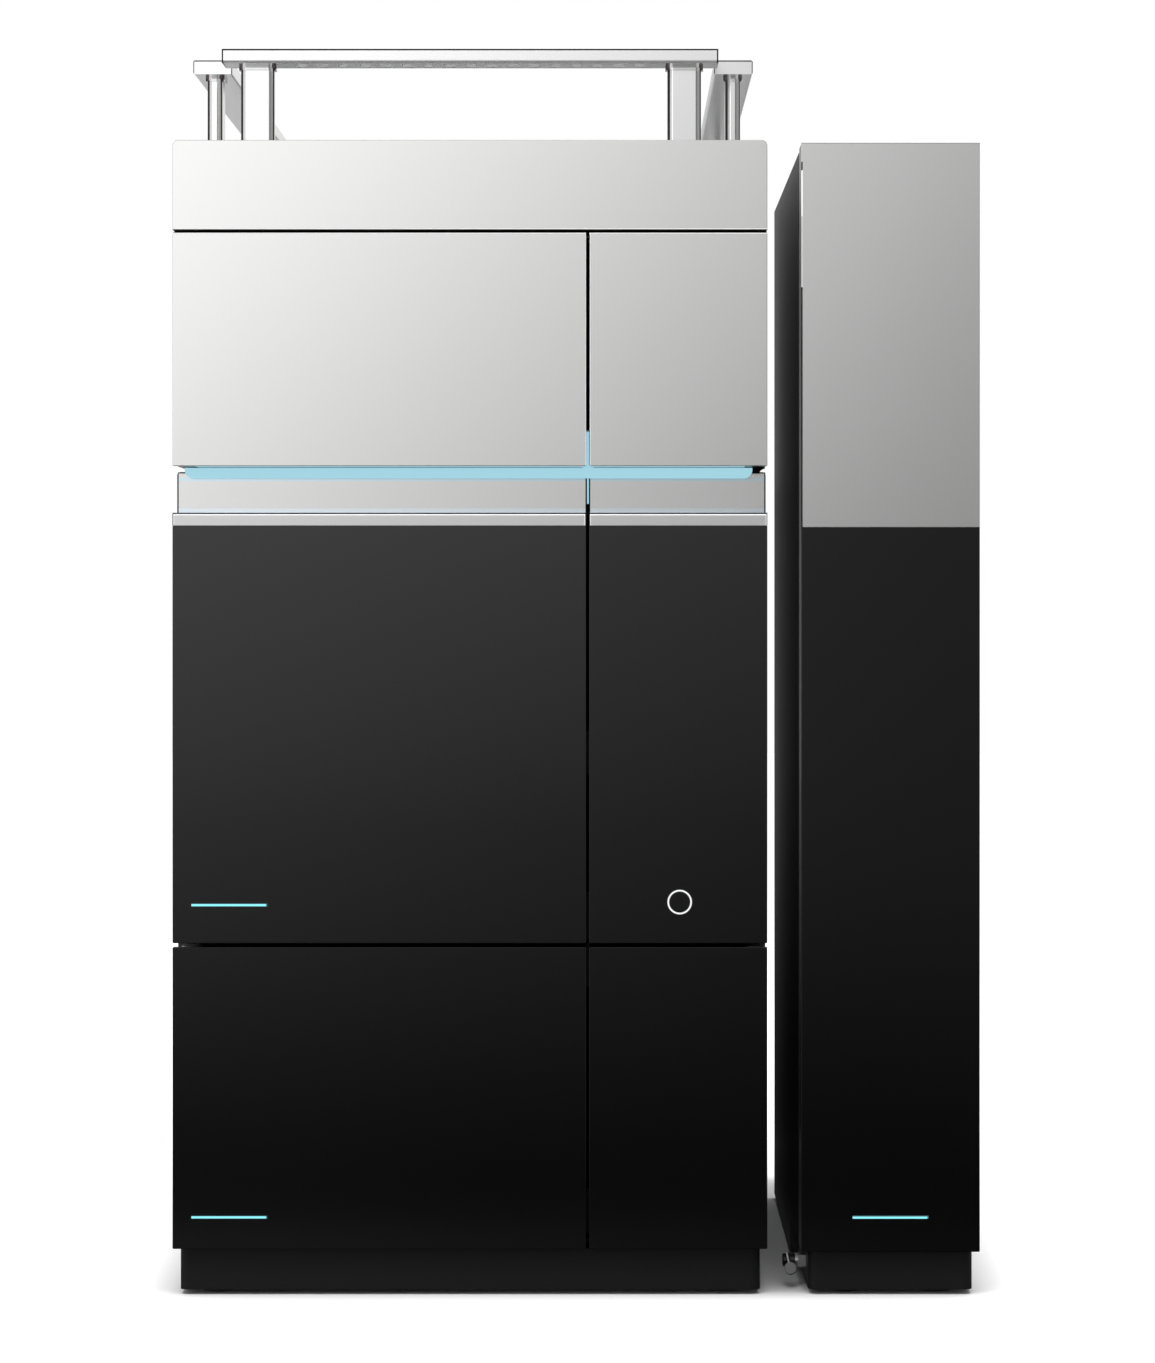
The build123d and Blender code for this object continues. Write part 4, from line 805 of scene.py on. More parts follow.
def finished(name: str, mesh: bpy.types.Mesh, place: Place) -> bpy.types.Object:
    """Args:
        name: The piece's name.
        mesh: Its mesh, in metres.
        place: Its body and slot.

    Returns:
        The piece.
    """
    mesh.shade_smooth()
    mesh.set_sharp_from_angle(angle=SHARP)
    piece = bpy.data.objects.new(name, mesh)
    bpy.context.collection.objects.link(piece)
    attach(piece, place.body)
    log.info("%s: %d faces on %s", name, len(mesh.polygons), place.body)
    return piece


class NodeWork:
    """A Geometry Nodes tree with named inputs, run on a mesh and turned into a plain piece."""

    def __init__(self, name: str, inputs: Sequence[tuple[str, str]]) -> None:
        """Starts the tree.

        Args:
            name: Name of the tree.
            inputs: Name and socket type of each input.
        """
        self.tree = bpy.data.node_groups.new(name, "GeometryNodeTree")
        face = self.tree.interface
        face.new_socket("Geometry", in_out="INPUT", socket_type="NodeSocketGeometry")
        self.identifiers = {}
        for title, kind in inputs:
            socket = face.new_socket(title, in_out="INPUT", socket_type=f"NodeSocket{kind}")
            self.identifiers[title] = socket.identifier
        face.new_socket("Geometry", in_out="OUTPUT", socket_type="NodeSocketGeometry")
        self.given = self.tree.nodes.new("NodeGroupInput")

    def add(self, kind: str, settings: dict | None = None, inputs: dict | None = None) -> Any:
        """Adds a node.

        Args:
            kind: The node's type, without its prefix.
            settings: Properties of the node.
            inputs: Sockets or values by name; a string names an input of the tree.

        Returns:
            The node.
        """
        made = self.tree.nodes.new(kind if kind.startswith("Shader") else f"GeometryNode{kind}")
        for title, setting in (settings or {}).items():
            setattr(made, title, setting)
        for title, source in (inputs or {}).items():
            socket = made.inputs[title]
            if isinstance(source, str):
                self.tree.links.new(self.given.outputs[source], socket)
            elif isinstance(source, bpy.types.NodeSocket):
                self.tree.links.new(source, socket)
            else:
                socket.default_value = source
        return made

    def end(self, geometry: Any) -> None:
        """Realises the instances, sets the finish and closes the tree.

        Args:
            geometry: Socket with the finished geometry.
        """
        real = self.add("RealizeInstances", {}, {"Geometry": geometry})
        painted = self.add("SetMaterial", {}, {"Geometry": real.outputs[0], "Material": "Finish"})
        output = self.tree.nodes.new("NodeGroupOutput")
        self.tree.links.new(painted.outputs[0], output.inputs[0])

    def run(self, name: str, places: Sequence[Point], chain: bool, values: dict, place: Place) -> bpy.types.Object:
        """Runs the tree on points in millimetres and keeps the result as a plain piece.

        Args:
            name: The piece's name.
            places: The points.
            chain: Whether the points follow one line.
            values: Values of the tree's inputs by name.
            place: The piece's body and slot.

        Returns:
            The piece.
        """
        seed = bpy.data.meshes.new(name + "_points")
        links = [(number, number + 1) for number in range(len(places) - 1)] if chain else []
        seed.from_pydata([metres(point) for point in places], links, [])
        worked = bpy.data.objects.new(name + "_points", seed)
        bpy.context.collection.objects.link(worked)
        modifier = worked.modifiers.new("work", "NODES")
        modifier.node_group = self.tree
        for title, value in values.items():
            modifier[self.identifiers[title]] = value
        graph = bpy.context.evaluated_depsgraph_get()
        mesh = bpy.data.meshes.new_from_object(worked.evaluated_get(graph), depsgraph=graph)
        worked.modifiers.remove(modifier)
        bpy.data.objects.remove(worked)
        bpy.data.meshes.remove(seed)
        return finished(name, mesh, place)


class Workshop:
    """Makes the pieces: studs or bars on points, bent tubes, hand-built forms and single blocks."""

    def __init__(self, finishes: Finishes) -> None:
        """Builds the trees.

        Args:
            finishes: The materials.
        """
        self.finishes = finishes
        self.stud_work = self._studs()
        self.bar_work = self._bars()
        self.tube_work = self._tubes()

    @staticmethod
    def _studs() -> NodeWork:
        """Builds the tree that sets one turned or hexagonal head on every point.

        Returns:
            The tree.
        """
        work = NodeWork("stud_work", (("Sides", "Int"), ("Radius", "Float"), ("Height", "Float"), ("Socket", "Float"),
                                      ("Depth", "Float"), ("Turn", "Vector"), ("Finish", "Material")))
        head = work.add("MeshCylinder", {}, {"Vertices": "Sides", "Radius": "Radius", "Depth": "Height"})
        half = work.add("ShaderNodeMath", {"operation": "MULTIPLY"}, {0: "Height", 1: 0.5})
        lift = work.add("ShaderNodeCombineXYZ", {}, {"Z": half.outputs[0]})
        stood = work.add("Transform", {}, {"Geometry": head.outputs["Mesh"], "Translation": lift.outputs[0]})
        inner = work.add("ExtrudeMesh", {"mode": "FACES"}, {"Mesh": stood.outputs[0], "Selection": head.outputs["Top"],
                                                            "Offset Scale": 0.0})
        sized = work.add("ScaleElements", {"domain": "FACE"}, {"Geometry": inner.outputs["Mesh"],
                                                               "Selection": inner.outputs["Top"], "Scale": "Socket"})
        sunk = work.add("ShaderNodeMath", {"operation": "MULTIPLY"}, {0: "Depth", 1: -1.0})
        bored = work.add("ExtrudeMesh", {"mode": "FACES"}, {"Mesh": sized.outputs[0], "Selection": inner.outputs["Top"],
                                                            "Offset Scale": sunk.outputs[0]})
        spread = work.add("InstanceOnPoints", {}, {"Points": "Geometry", "Instance": bored.outputs["Mesh"],
                                                   "Rotation": "Turn"})
        work.end(spread.outputs[0])
        return work

    @staticmethod
    def _bars() -> NodeWork:
        """Builds the tree that sets one bar on every point.

        Returns:
            The tree.
        """
        work = NodeWork("bar_work", (("Size", "Vector"), ("Finish", "Material")))
        bar = work.add("MeshCube", {}, {"Size": "Size"})
        spread = work.add("InstanceOnPoints", {}, {"Points": "Geometry", "Instance": bar.outputs["Mesh"]})
        work.end(spread.outputs[0])
        return work

    @staticmethod
    def _tubes() -> NodeWork:
        """Builds the tree that bends a tube round the corners of a line.

        Returns:
            The tree.
        """
        work = NodeWork("tube_work", (("Radius", "Float"), ("Bend", "Float"), ("Finish", "Material")))
        line = work.add("MeshToCurve", {}, {"Mesh": "Geometry"})
        bent = work.add("FilletCurve", {}, {"Curve": line.outputs[0], "Radius": "Bend", "Limit Radius": True})
        bent.mode = "POLY"
        bent.inputs["Count"].default_value = BEND_STEPS
        bore = work.add("CurvePrimitiveCircle", {}, {"Resolution": TUBE_SIDES, "Radius": "Radius"})
        tube = work.add("CurveToMesh", {}, {"Curve": bent.outputs[0], "Profile Curve": bore.outputs[0],
                                                "Fill Caps": True})
        work.end(tube.outputs[0])
        return work

    def studs(self, name: str, places: Sequence[Point], facing: Facing, stud: Stud, place: Place) -> bpy.types.Object:
        """Sets a head on every point.

        Args:
            name: The piece's name.
            places: Feet of the heads, in millimetres.
            facing: Way that the heads point.
            stud: The head.
            place: Its body and slot.

        Returns:
            The piece.
        """
        values = {"Sides": stud.sides, "Radius": stud.radius * MM, "Height": stud.height * MM, "Socket": stud.socket,
                  "Depth": stud.depth * stud.height * MM, "Turn": facing.value,
                  "Finish": self.finishes.get(stud.finish)}
        return self.stud_work.run(name, places, False, values, place)

    def bars(self, name: str, places: Sequence[Point], size: Point, finish: Finish, place: Place) -> bpy.types.Object:
        """Sets a bar of a size in millimetres on every point."""
        values = {"Size": metres(size), "Finish": self.finishes.get(finish)}
        return self.bar_work.run(name, places, False, values, place)

    def tube(self, name: str, path: Sequence[Point], pipe: Pipe, place: Place) -> bpy.types.Object:
        """Bends a rigid tube along the corners of a path."""
        values = {"Radius": pipe.radius * MM, "Bend": pipe.bend * MM, "Finish": self.finishes.get(pipe.finish)}
        return self.tube_work.run(name, path, True, values, place)

    def form(self, form: Form, finish: Finish, place: Place) -> bpy.types.Object:
        """Finishes a hand-built form."""
        return form.make(self.finishes.get(finish), place)

    def block(self, name: str, low: Point, high: Point, edge: float, finish: Finish, place: Place) -> bpy.types.Object:
        """Makes a piece of one block.

        Args:
            name: The piece's name.
            low: Lowest corner, in millimetres.
            high: Highest corner.
            edge: Radius of its edges.
            finish: Its finish.
            place: Its body and slot.

        Returns:
            The piece.
        """
        form = Form(name)
        form.block(low, high, edge)
        return self.form(form, finish, place)


def ring(centre: Point, radius: float, count: int, facing: Facing, start: float = 0.0) -> list[Point]:
    """Spreads points on a circle.

    Args:
        centre: Middle of the circle.
        radius: Its radius.
        count: Number of points.
        facing: Way that the circle's axis points.
        start: Angle of the first point, in degrees.

    Returns:
        The points.
    """
    turn = Euler(facing.value).to_matrix()
    angles = [math.radians(start + 360 * step / count) for step in range(count)]
    return [tuple(Vector(centre) + turn @ Vector((radius * math.cos(a), radius * math.sin(a), 0.0))) for a in angles]


def row(first: Point, step: Point, count: int) -> list[Point]:
    """Spreads points on a line."""
    return [tuple(a + b * number for a, b in zip(first, step)) for number in range(count)]


def frame_points(x: tuple[float, float], z: tuple[float, float], y: float, across: int, up: int) -> list[Point]:
    """Spreads points along the four sides of an upright frame.

    Args:
        x: Left and right sides.
        z: Lower and upper sides.
        y: Depth of the frame.
        across: Number of points on the lower and upper sides.
        up: Number of points on the left and right sides, corners included.

    Returns:
        The points.
    """
    pitch_x, pitch_z = (x[1] - x[0]) / (across - 1), (z[1] - z[0]) / (up - 1)
    points = [point for side in z for point in row((x[0], y, side), (pitch_x, 0.0, 0.0), across)]
    return points + [point for side in x for point in row((side, y, z[0] + pitch_z), (0.0, 0.0, pitch_z), up - 2)]


# ---------------------------------------------------------------- sub-assemblies; their sizes are in millimetres
class Socket(Enum):
    """Kind of signal socket, as its width and height."""

    SERIAL = (24.0, 9.0)
    NETWORK = (14.0, 12.0)
    REMOTE = (14.0, 10.0)


LINER_SCREW = Stud(2.0, 0.7, BOLT, 14, 0.5, 0.6)
PANEL_SCREW = Stud(2.6, 1.7, BOLT, 18, 0.5, 0.6)
SOCKET_PIN = Stud(0.5, 1.2, BRASS, 8)
GUARD_SCREW = Stud(3.2, 2.6, BOLT, 18)
CAP_BOLT = Stud(2.9, 3.0, BOLT, 18)
FLANGE_BOLT = Stud(2.4, 2.4, BOLT)
VALVE_NUT = Stud(7.6, 6.0, STEEL, 6, 0.8, 0.0)
OUTLET_FITTING = Stud(4.2, 7.0, STEEL, 6, 0.5, 0.1)
INLET_FITTING = Stud(4.2, 7.0, PEEK, 12, 0.5, 0.1)
DEGASSER_NUT = Stud(5.4, 6.5, PEEK, 12, 0.5, 0.1)
VIAL_CAP = Stud(6.3, 4.6, CAP_BLUE, 20, 0.5, 0.12)
PORT_NUT = Stud(4.9, 7.0, STEEL, 6, 0.5, 0.1)
CARRIAGE_SCREW = Stud(2.2, 1.8, BOLT)
CELL_NUT = Stud(5.2, 7.0, STEEL, 6, 0.5, 0.1)
LAMP_SCREW = Stud(2.6, 1.8, BOLT)
COLUMN_NUT = Stud(5.4, 8.0, STEEL, 6, 0.5, 0.1)
SPOKE = Pipe(0.9, 0.0, CHROME)
PUMP_PIPE = Pipe(0.8, 6.0, STEEL)
CELL_PIPE = Pipe(0.8, 8.0, STEEL)
CAPILLARY = Pipe(0.8, 9.0, STEEL)
INLET_LINE = Pipe(1.6, 7.0, CLEAR_LINE)
SOLVENT_LINE = Pipe(1.6, 9.0, CLEAR_LINE)

HOUSING = "housing"
ON_STEEL = Place(HOUSING, "machined_steel")
ON_ZINC = Place(HOUSING, "zinc_steel")
ON_RUBBER = Place(HOUSING, "foot_rubber")
ON_INNER = Place(HOUSING, "inner_plastic")
ON_WHITE = Place(HOUSING, "white_plastic")
ON_DRIVE = Place(HOUSING, "drive_metal")


@dataclass
class FrontSeams:
    """Near-black seals behind the front's gaps, which also stand in for the shade in the gaps; a glowing block in the
    fascia's split, a painted glow of the light guide's light there; and the guide's black end cap, which with its thin
    wedge also stands in for the shadow under the corner of the door above.
    """

    seals: tuple[tuple[str, Point, Point], ...] = (
        ("tray_seal", (-284.4, -245.4, 751.15), (134.4, -217.1, 751.88)),
        ("stile_seal", (2.6, -217.9, 612.0), (13.6, -216.8, 749.5)),
        ("pump_seal", (2.6, -217.6, 34.0), (13.6, -216.8, 244.0)),
        ("sampler_seal", (2.6, -217.6, 250.0), (13.6, -216.8, 551.5)),
        ("fascia_seal", (7.05, -218.6, 552.0), (9.15, -216.8, 577.0)),
    )
    # Glowing block in the fascia's split: a painted glow of the light guide's light seen in the gap.
    tail: tuple[Point, Point] = ((7.5, -221.6, 559.4), (8.8, -218.5, 577.4))
    edge: float = 0.2
    cap_x: tuple[float, float] = (125.4, 130.4)
    cap_z: tuple[float, float] = (581.2, 585.1)
    cap_y: tuple[float, float] = (-227.9, -217.2)
    shadow_wedge: float = 3.8

    def build(self, shop: Workshop) -> None:
        """Builds the seals, the glowing block and the cap with its wedge.

        Args:
            shop: Maker of the pieces.
        """
        # Real door seals that also stand in for the shade in the gaps.
        for name, low, high in self.seals:
            shop.block(name, low, high, self.edge, SEAL_AND_SHADE_BLACK, ON_RUBBER)
        # Painted glow: a glowing block in the fascia's split stands for the light guide's light seen in the gap.
        shop.block("guide_glow_in_gap", *self.tail, self.edge, LIGHT, Place(HOUSING, "light_acrylic"))
        # End cap of the light guide; it and its thin wedge also stand in for the shadow under the corner of the door
        # above.
        (left, right), (low, high) = self.cap_x, self.cap_z
        outer = right + self.shadow_wedge
        cap = Form("guide_end_cap")
        cap.prism([(left, low), (right, low), (right + 0.6, high - 1.6), (outer, high - 0.7), (outer, high),
                   (left, high)], self.cap_y)
        shop.form(cap, SEAL_AND_SHADE_BLACK, ON_INNER)


@dataclass
class DoorLiner:
    """Pale inner sheet on the back of one door, held by small screws."""

    door: str
    x: tuple[float, float]
    z: tuple[float, float]
    across: int
    up: int
    back: float = -222.0
    thickness: float = 1.5
    sunk: float = 0.05
    edge: float = 0.5
    margin: float = 7.0

    def build(self, shop: Workshop) -> None:
        """Builds the sheet and its screws.

        Args:
            shop: Maker of the pieces.
        """
        face = self.back + self.thickness
        (left, right), (low, top) = self.x, self.z
        shop.block(f"{self.door}_liner", (left, self.back - self.sunk, low), (right, face, top), self.edge, LINER,
                   Place(self.door, "inner_plastic"))
        inner = [(start + self.margin, end - self.margin) for start, end in (self.x, self.z)]
        places = frame_points(*inner, face, self.across, self.up)
        shop.studs(f"{self.door}_screws", places, Facing.BACK, LINER_SCREW, Place(self.door, "zinc_steel"))


@dataclass
class RearPanelFittings:
    """Screws and signal sockets of one rear panel."""

    name: str
    x: tuple[float, float]
    z: tuple[float, float]
    y: float
    across: int
    up: int
    sockets: tuple[tuple[Socket, float, float], ...]
    shell: float = 1.0
    reach: float = 3.0

    def build(self, shop: Workshop) -> None:
        """Builds the screws and the sockets.

        Args:
            shop: Maker of the pieces.
        """
        places = frame_points(self.x, self.z, self.y, self.across, self.up)
        shop.studs(f"{self.name}_screws", places, Facing.BACK, PANEL_SCREW, ON_ZINC)
        shells, cores, pins = Form(f"{self.name}_socket_shells"), Form(f"{self.name}_socket_cores"), []
        for kind, x, z in self.sockets:
            pins += self._socket(shells, cores, kind, x, z)
        shop.form(shells, ZINC, ON_ZINC)
        shop.form(cores, BLACK_PLASTIC, Place(HOUSING, "inlet_plastic"))
        shop.studs(f"{self.name}_pins", pins, Facing.BACK, SOCKET_PIN, ON_ZINC)

    def _socket(self, shells: Form, cores: Form, kind: Socket, x: float, z: float) -> list[Point]:
        """Builds one socket.

        Args:
            shells: Form of the metal shells.
            cores: Form of the plastic cores.
            kind: Kind of socket.
            x: Its middle across.
            z: Its middle up.

        Returns:
            Feet of its pins.
        """
        wide, high = kind.value
        left, right, low, top = x - wide / 2, x + wide / 2, z - high / 2, z + high / 2
        flange = 5.0 if kind is Socket.SERIAL else 1.6
        shells.block((left - flange, self.y - 0.2, low - 1.6), (right + flange, self.y + 0.8, top + 1.6), 0.3)
        back, face = self.y + 0.6, self.y + self.reach
        for first, second in (((left, back, low), (left + self.shell, face, top)),
                              ((right - self.shell, back, low), (right, face, top)),
                              ((left, back, low), (right, face, low + self.shell)),
                              ((left, back, top - self.shell), (right, face, top))):
            shells.block(first, second, 0.2, 1)
        cores.block((left + self.shell, back, low + self.shell), (right - self.shell, back + 0.9, top - self.shell))
        if kind is not Socket.SERIAL:
            return []
        pins = []
        for inset, lift, count in ((5.0, -1.6, 5), (7.5, 1.6, 4)):
            pins += row((left + inset, back + 0.7, z + lift), ((wide - 2 * inset) / (count - 1), 0.0, 0.0), count)
        return pins


@dataclass
class TowerFan:
    """Wire guard and screws over the tower's fan."""

    centre: Point = (222.0, 158.0, 180.4)
    rings: tuple[float, ...] = (10.0, 18.0, 26.0, 34.0)
    wire: float = 1.0
    lift: float = 1.2
    inner: float = 9.0
    outer: float = 52.3125
    screw_pitch: float = 35.75

    def build(self, shop: Workshop) -> None:
        """Builds the guard and its screws.

        Args:
            shop: Maker of the pieces.
        """
        x, y, z = self.centre
        guard = Form("fan_guard")
        for radius in self.rings:
            guard.turned([(radius - self.wire, self.lift), (radius, 0.4), (radius + self.wire, self.lift),
                          (radius, 2.0), (radius - self.wire, self.lift)], self.centre, Facing.BACK, 48)
        for turn in (45, 135, 225, 315):
            across, up = math.cos(math.radians(turn)), math.sin(math.radians(turn))
            ends = [(x + reach * across, y + self.lift, z + reach * up) for reach in (self.inner, self.outer)]
            shop.tube(f"fan_guard_spoke_{turn}", ends, SPOKE, ON_ZINC)
        bmesh.ops.remove_doubles(guard.mesh, verts=guard.mesh.verts, dist=0.001)
        shop.form(guard, CHROME, ON_ZINC)
        corners = [(x + a * self.screw_pitch, y, z + b * self.screw_pitch) for a in (-1, 1) for b in (-1, 1)]
        shop.studs("fan_guard_screws", corners, Facing.BACK, GUARD_SCREW, ON_ZINC)


@dataclass
class TrayMat:
    """Ribbed rubber mat that lies in the solvent tray."""

    low: Point = (-250.0, -212.0, 754.9)
    high: Point = (100.0, 238.0, 757.3)
    corner: float = 12.0
    steps: int = 6
    rib: Point = (334.0, 2.4, 1.4)
    pitch: float = 12.0
    sunk: float = 0.1

    def build(self, shop: Workshop) -> None:
        """Builds the mat and its ribs.

        Args:
            shop: Maker of the pieces.
        """
        (left, front, foot), (right, back, face) = self.low, self.high
        inset, outline = self.corner, []
        for x, y, start in ((right - inset, back - inset, 0), (left + inset, back - inset, 90),
                            (left + inset, front + inset, 180), (right - inset, front + inset, 270)):
            for step in range(self.steps + 1):
                angle = math.radians(start + 90 * step / self.steps)
                outline.append((x + inset * math.cos(angle), y + inset * math.sin(angle)))
        mat = Form("tray_mat")
        sheet = mat.mesh.faces.new([mat.mesh.verts.new((x, y, foot)) for x, y in outline])
        grown = bmesh.ops.extrude_face_region(mat.mesh, geom=[sheet])["geom"]
        tops = [item for item in grown if isinstance(item, bmesh.types.BMVert)]
        bmesh.ops.translate(mat.mesh, verts=tops, vec=(0.0, 0.0, face - foot))
        shop.form(mat, MAT, ON_RUBBER)
        count = int((back - front - 2 * self.pitch) / self.pitch)
        first = ((left + right) / 2, front + 1.5 * self.pitch, face + self.rib[2] / 2 - self.sunk)
        shop.bars("tray_mat_ribs", row(first, (0.0, self.pitch, 0.0), count), self.rib, MAT, ON_RUBBER)


@dataclass
class PumpBay:
    """Bolts, fittings and pipework of the two pump heads, the mixer and the degasser."""

    heads: tuple[float, float] = (-205.0, -115.0)
    head_z: float = 150.5
    valve_y: float = -105.0
    valve_end: float = 42.0
    nut_inset: float = 9.0
    entry: float = 5.0
    over: float = 20.0
    under: float = 16.0
    body: tuple[float, float] = (-125.0, 19.0)
    flange: tuple[float, float] = (-79.0, 26.5)
    port: Point = (-235.0, -139.0, 63.0)
    port_pitch: float = 20.0
    lane_y: float = -80.0
    mixer_y: float = -87.0
    top_z: float = 241.0
    knob: Point = (-30.0, -101.3, 150.5)
    knob_r: float = 14.8
    knob_rib: Point = (1.3, 14.0, 1.3)
    mark: tuple[Point, Point] = ((-31.0, -109.9, 153.5), (-29.0, -109.1, 164.0))

    def build(self, shop: Workshop) -> None:
        """Builds the bay's fittings.

        Args:
            shop: Maker of the pieces.
        """
        for name, (y, radius), start, stud in (("pump_head_bolts", self.body, 45.0, CAP_BOLT),
                                               ("pump_flange_bolts", self.flange, 0.0, FLANGE_BOLT)):
            bolts = [at for x in self.heads for at in ring((x, y, self.head_z), radius, 4, Facing.FRONT, start)]
            shop.studs(name, bolts, Facing.FRONT, stud, ON_STEEL)
        top, low = self.head_z + self.valve_end, self.head_z - self.valve_end
        for name, z, facing, stud in (("outlet_nuts", top - self.nut_inset, Facing.UP, VALVE_NUT),
                                      ("inlet_nuts", low + self.nut_inset, Facing.DOWN, VALVE_NUT),
                                      ("outlet_fittings", top, Facing.UP, OUTLET_FITTING),
                                      ("inlet_fittings", low, Facing.DOWN, INLET_FITTING)):
            shop.studs(name, [(x, self.valve_y, z) for x in self.heads], facing, stud, ON_STEEL)
        ports = row(self.port, (self.port_pitch, 0.0, 0.0), 8)
        shop.studs("degasser_nuts", ports, Facing.FRONT, DEGASSER_NUT, ON_WHITE)
        self._pipes(shop, low, top)
        self._lines(shop, low, ports)
        ribs = ring(self.knob, self.knob_r, 30, Facing.FRONT)
        place = Place("purge_knob", "knob_plastic")
        shop.bars("purge_knob_ribs", ribs, self.knob_rib, BLACK_PLASTIC, place)
        shop.block("purge_knob_mark", *self.mark, 0.2, WHITE_PLASTIC, place)

    def _pipes(self, shop: Workshop, low: float, top: float) -> None:
        """Builds the steel pipes.

        Args:
            shop: Maker of the pieces.
            low: Lower end of the pump heads.
            top: Their upper end.
        """
        first, second = self.heads
        y, lane, mixer, z = self.valve_y, self.lane_y, self.mixer_y, self.head_z
        over, under, between = top + self.over, low - self.under, (first + second) / 2
        high_end, low_end = top + self.entry, low - self.entry
        paths = {
            "head_link_pipe": [(first, y, high_end), (first, y, over), (between, y, over), (between, y, under),
                               (second, y, under), (second, y, low_end)],
            "outlet_pipe": [(second, y, high_end), (second, y, over), (second, lane, over), (-30.0, lane, over),
                            (-30.0, lane, 160.0)],
            "mixer_pipe": [(-20.0, lane, z), (-2.0, lane, z), (-2.0, mixer, z), (18.0, mixer, z)],
            "delivery_pipe": [(102.0, mixer, z), (117.0, mixer, z), (117.0, mixer, self.top_z)],
        }
        for name, path in paths.items():
            shop.tube(name, path, PUMP_PIPE, ON_STEEL)

    def _lines(self, shop: Workshop, low: float, ports: Sequence[Point]) -> None:
        """Builds the pale solvent lines.

        Args:
            shop: Maker of the pieces.
            low: Lower end of the pump heads.
            ports: Ports of the degasser.
        """
        (outer, y, z), (second, _, _), (third, _, _) = ports[:3]
        start, away, drop = y - self.entry, -154.0, 82.0
        head = self.heads[0]
        inlet = [(third, start, z), (third, away, z), (third, away, drop), (head, self.valve_y, drop),
                 (head, self.valve_y, low - self.entry)]
        shop.tube("inlet_line", inlet, INLET_LINE, ON_WHITE)
        for number, x in enumerate((outer, second)):
            side, reach = -262.0 - 7.0 * number, -156.0 - 5.0 * number
            path = [(x, start, z), (x, reach, z), (side, reach, z), (side, reach, self.top_z)]
            shop.tube(f"solvent_line_{number}", path, SOLVENT_LINE, ON_WHITE)


@dataclass
class SamplerBay:
    """Vial caps, valve nuts, sample loop, syringe fittings and needle screws."""

    carousel: Point = (-140.0, -95.0, 325.3)
    rings: tuple[tuple[float, int], ...] = ((98.0, 24), (72.0, 16))
    knob_z: float = 312.8
    knob_profile: Profile = ((13.0, 0.0), (13.0, 6.0), (9.0, 8.0), (8.0, 20.0), (11.0, 26.0), (11.0, 30.0), (9.0, 32.0),
                             (0.0, 32.0))
    valve: Point = (72.1, -81.0, 451.3)
    port_ring: float = 15.0
    entry: float = 4.0
    loop_reach: float = 22.0
    loop_drop: float = 44.0
    feed_z: float = 330.0
    syringe: tuple[float, float] = (72.1, -27.0)
    syringe_z: tuple[float, float] = (370.8, 301.8)
    cap_profile: Profile = ((10.6, 0.0), (11.2, 0.8), (11.2, 6.4), (10.4, 7.2), (5.0, 7.2), (5.0, 12.0), (0.0, 12.0))
    foot_profile: Profile = ((10.6, 0.0), (11.2, 0.8), (11.2, 5.4), (6.0, 6.2), (3.0, 6.2), (3.0, 13.0), (7.0, 13.4),
                             (7.0, 17.0), (0.0, 17.4))
    mark: Point = (4.4, 0.5, 0.5)
    first_mark: Point = (72.1, -35.9, 310.0)
    mark_pitch: float = 5.5

    def build(self, shop: Workshop) -> None:
        """Builds the bay's fittings.

        Args:
            shop: Maker of the pieces.
        """
        caps = [point for radius, count in self.rings for point in ring(self.carousel, radius, count, Facing.UP)]
        shop.studs("vial_caps", caps, Facing.UP, VIAL_CAP, Place("carousel", "white_plastic"))
        knob = Form("carousel_knob")
        knob.turned(self.knob_profile, (*self.carousel[:2], self.knob_z), Facing.UP, 40)
        shop.form(knob, BLACK_PLASTIC, Place("carousel", "knob_plastic"))
        shop.studs("valve_nuts", ring(self.valve, self.port_ring, 6, Facing.FRONT), Facing.FRONT, PORT_NUT, ON_STEEL)
        x, y, z = self.valve
        right, left, far, near = x + self.port_ring, x - self.port_ring, y - self.loop_reach, y - self.entry
        loop = [(right, near, z), (right, far, z), (right, far, z - self.loop_drop), (left, far, z - self.loop_drop),
                (left, far, z), (left, near, z)]
        shop.tube("sample_loop", loop, CAPILLARY, ON_STEEL)
        low_x, low_z, lane = x - self.port_ring / 2, z - 13.0, y - 15
        feed = [(low_x, near, low_z), (low_x, lane, low_z), (low_x, lane, self.feed_z), (14.0, lane, self.feed_z),
                (2.0, lane, self.feed_z)]
        shop.tube("needle_port_pipe", feed, CAPILLARY, ON_STEEL)
        syringe = Form("syringe_caps")
        syringe.turned(self.cap_profile, (*self.syringe, self.syringe_z[0]), Facing.UP, 36)
        syringe.turned(self.foot_profile, (*self.syringe, self.syringe_z[1]), Facing.DOWN, 36)
        shop.form(syringe, MACHINED, ON_STEEL)
        marks = row(self.first_mark, (0.0, 0.0, self.mark_pitch), 11)
        shop.bars("syringe_marks", marks, self.mark, BLACK_PLASTIC, ON_STEEL)
        plate = [(a, -15.0, b) for a in (-25.0, 5.0) for b in (461.3, 501.3)]
        place = Place("needle_carriage", "drive_metal")
        shop.studs("needle_carriage_screws", plate, Facing.FRONT, CARRIAGE_SCREW, place)


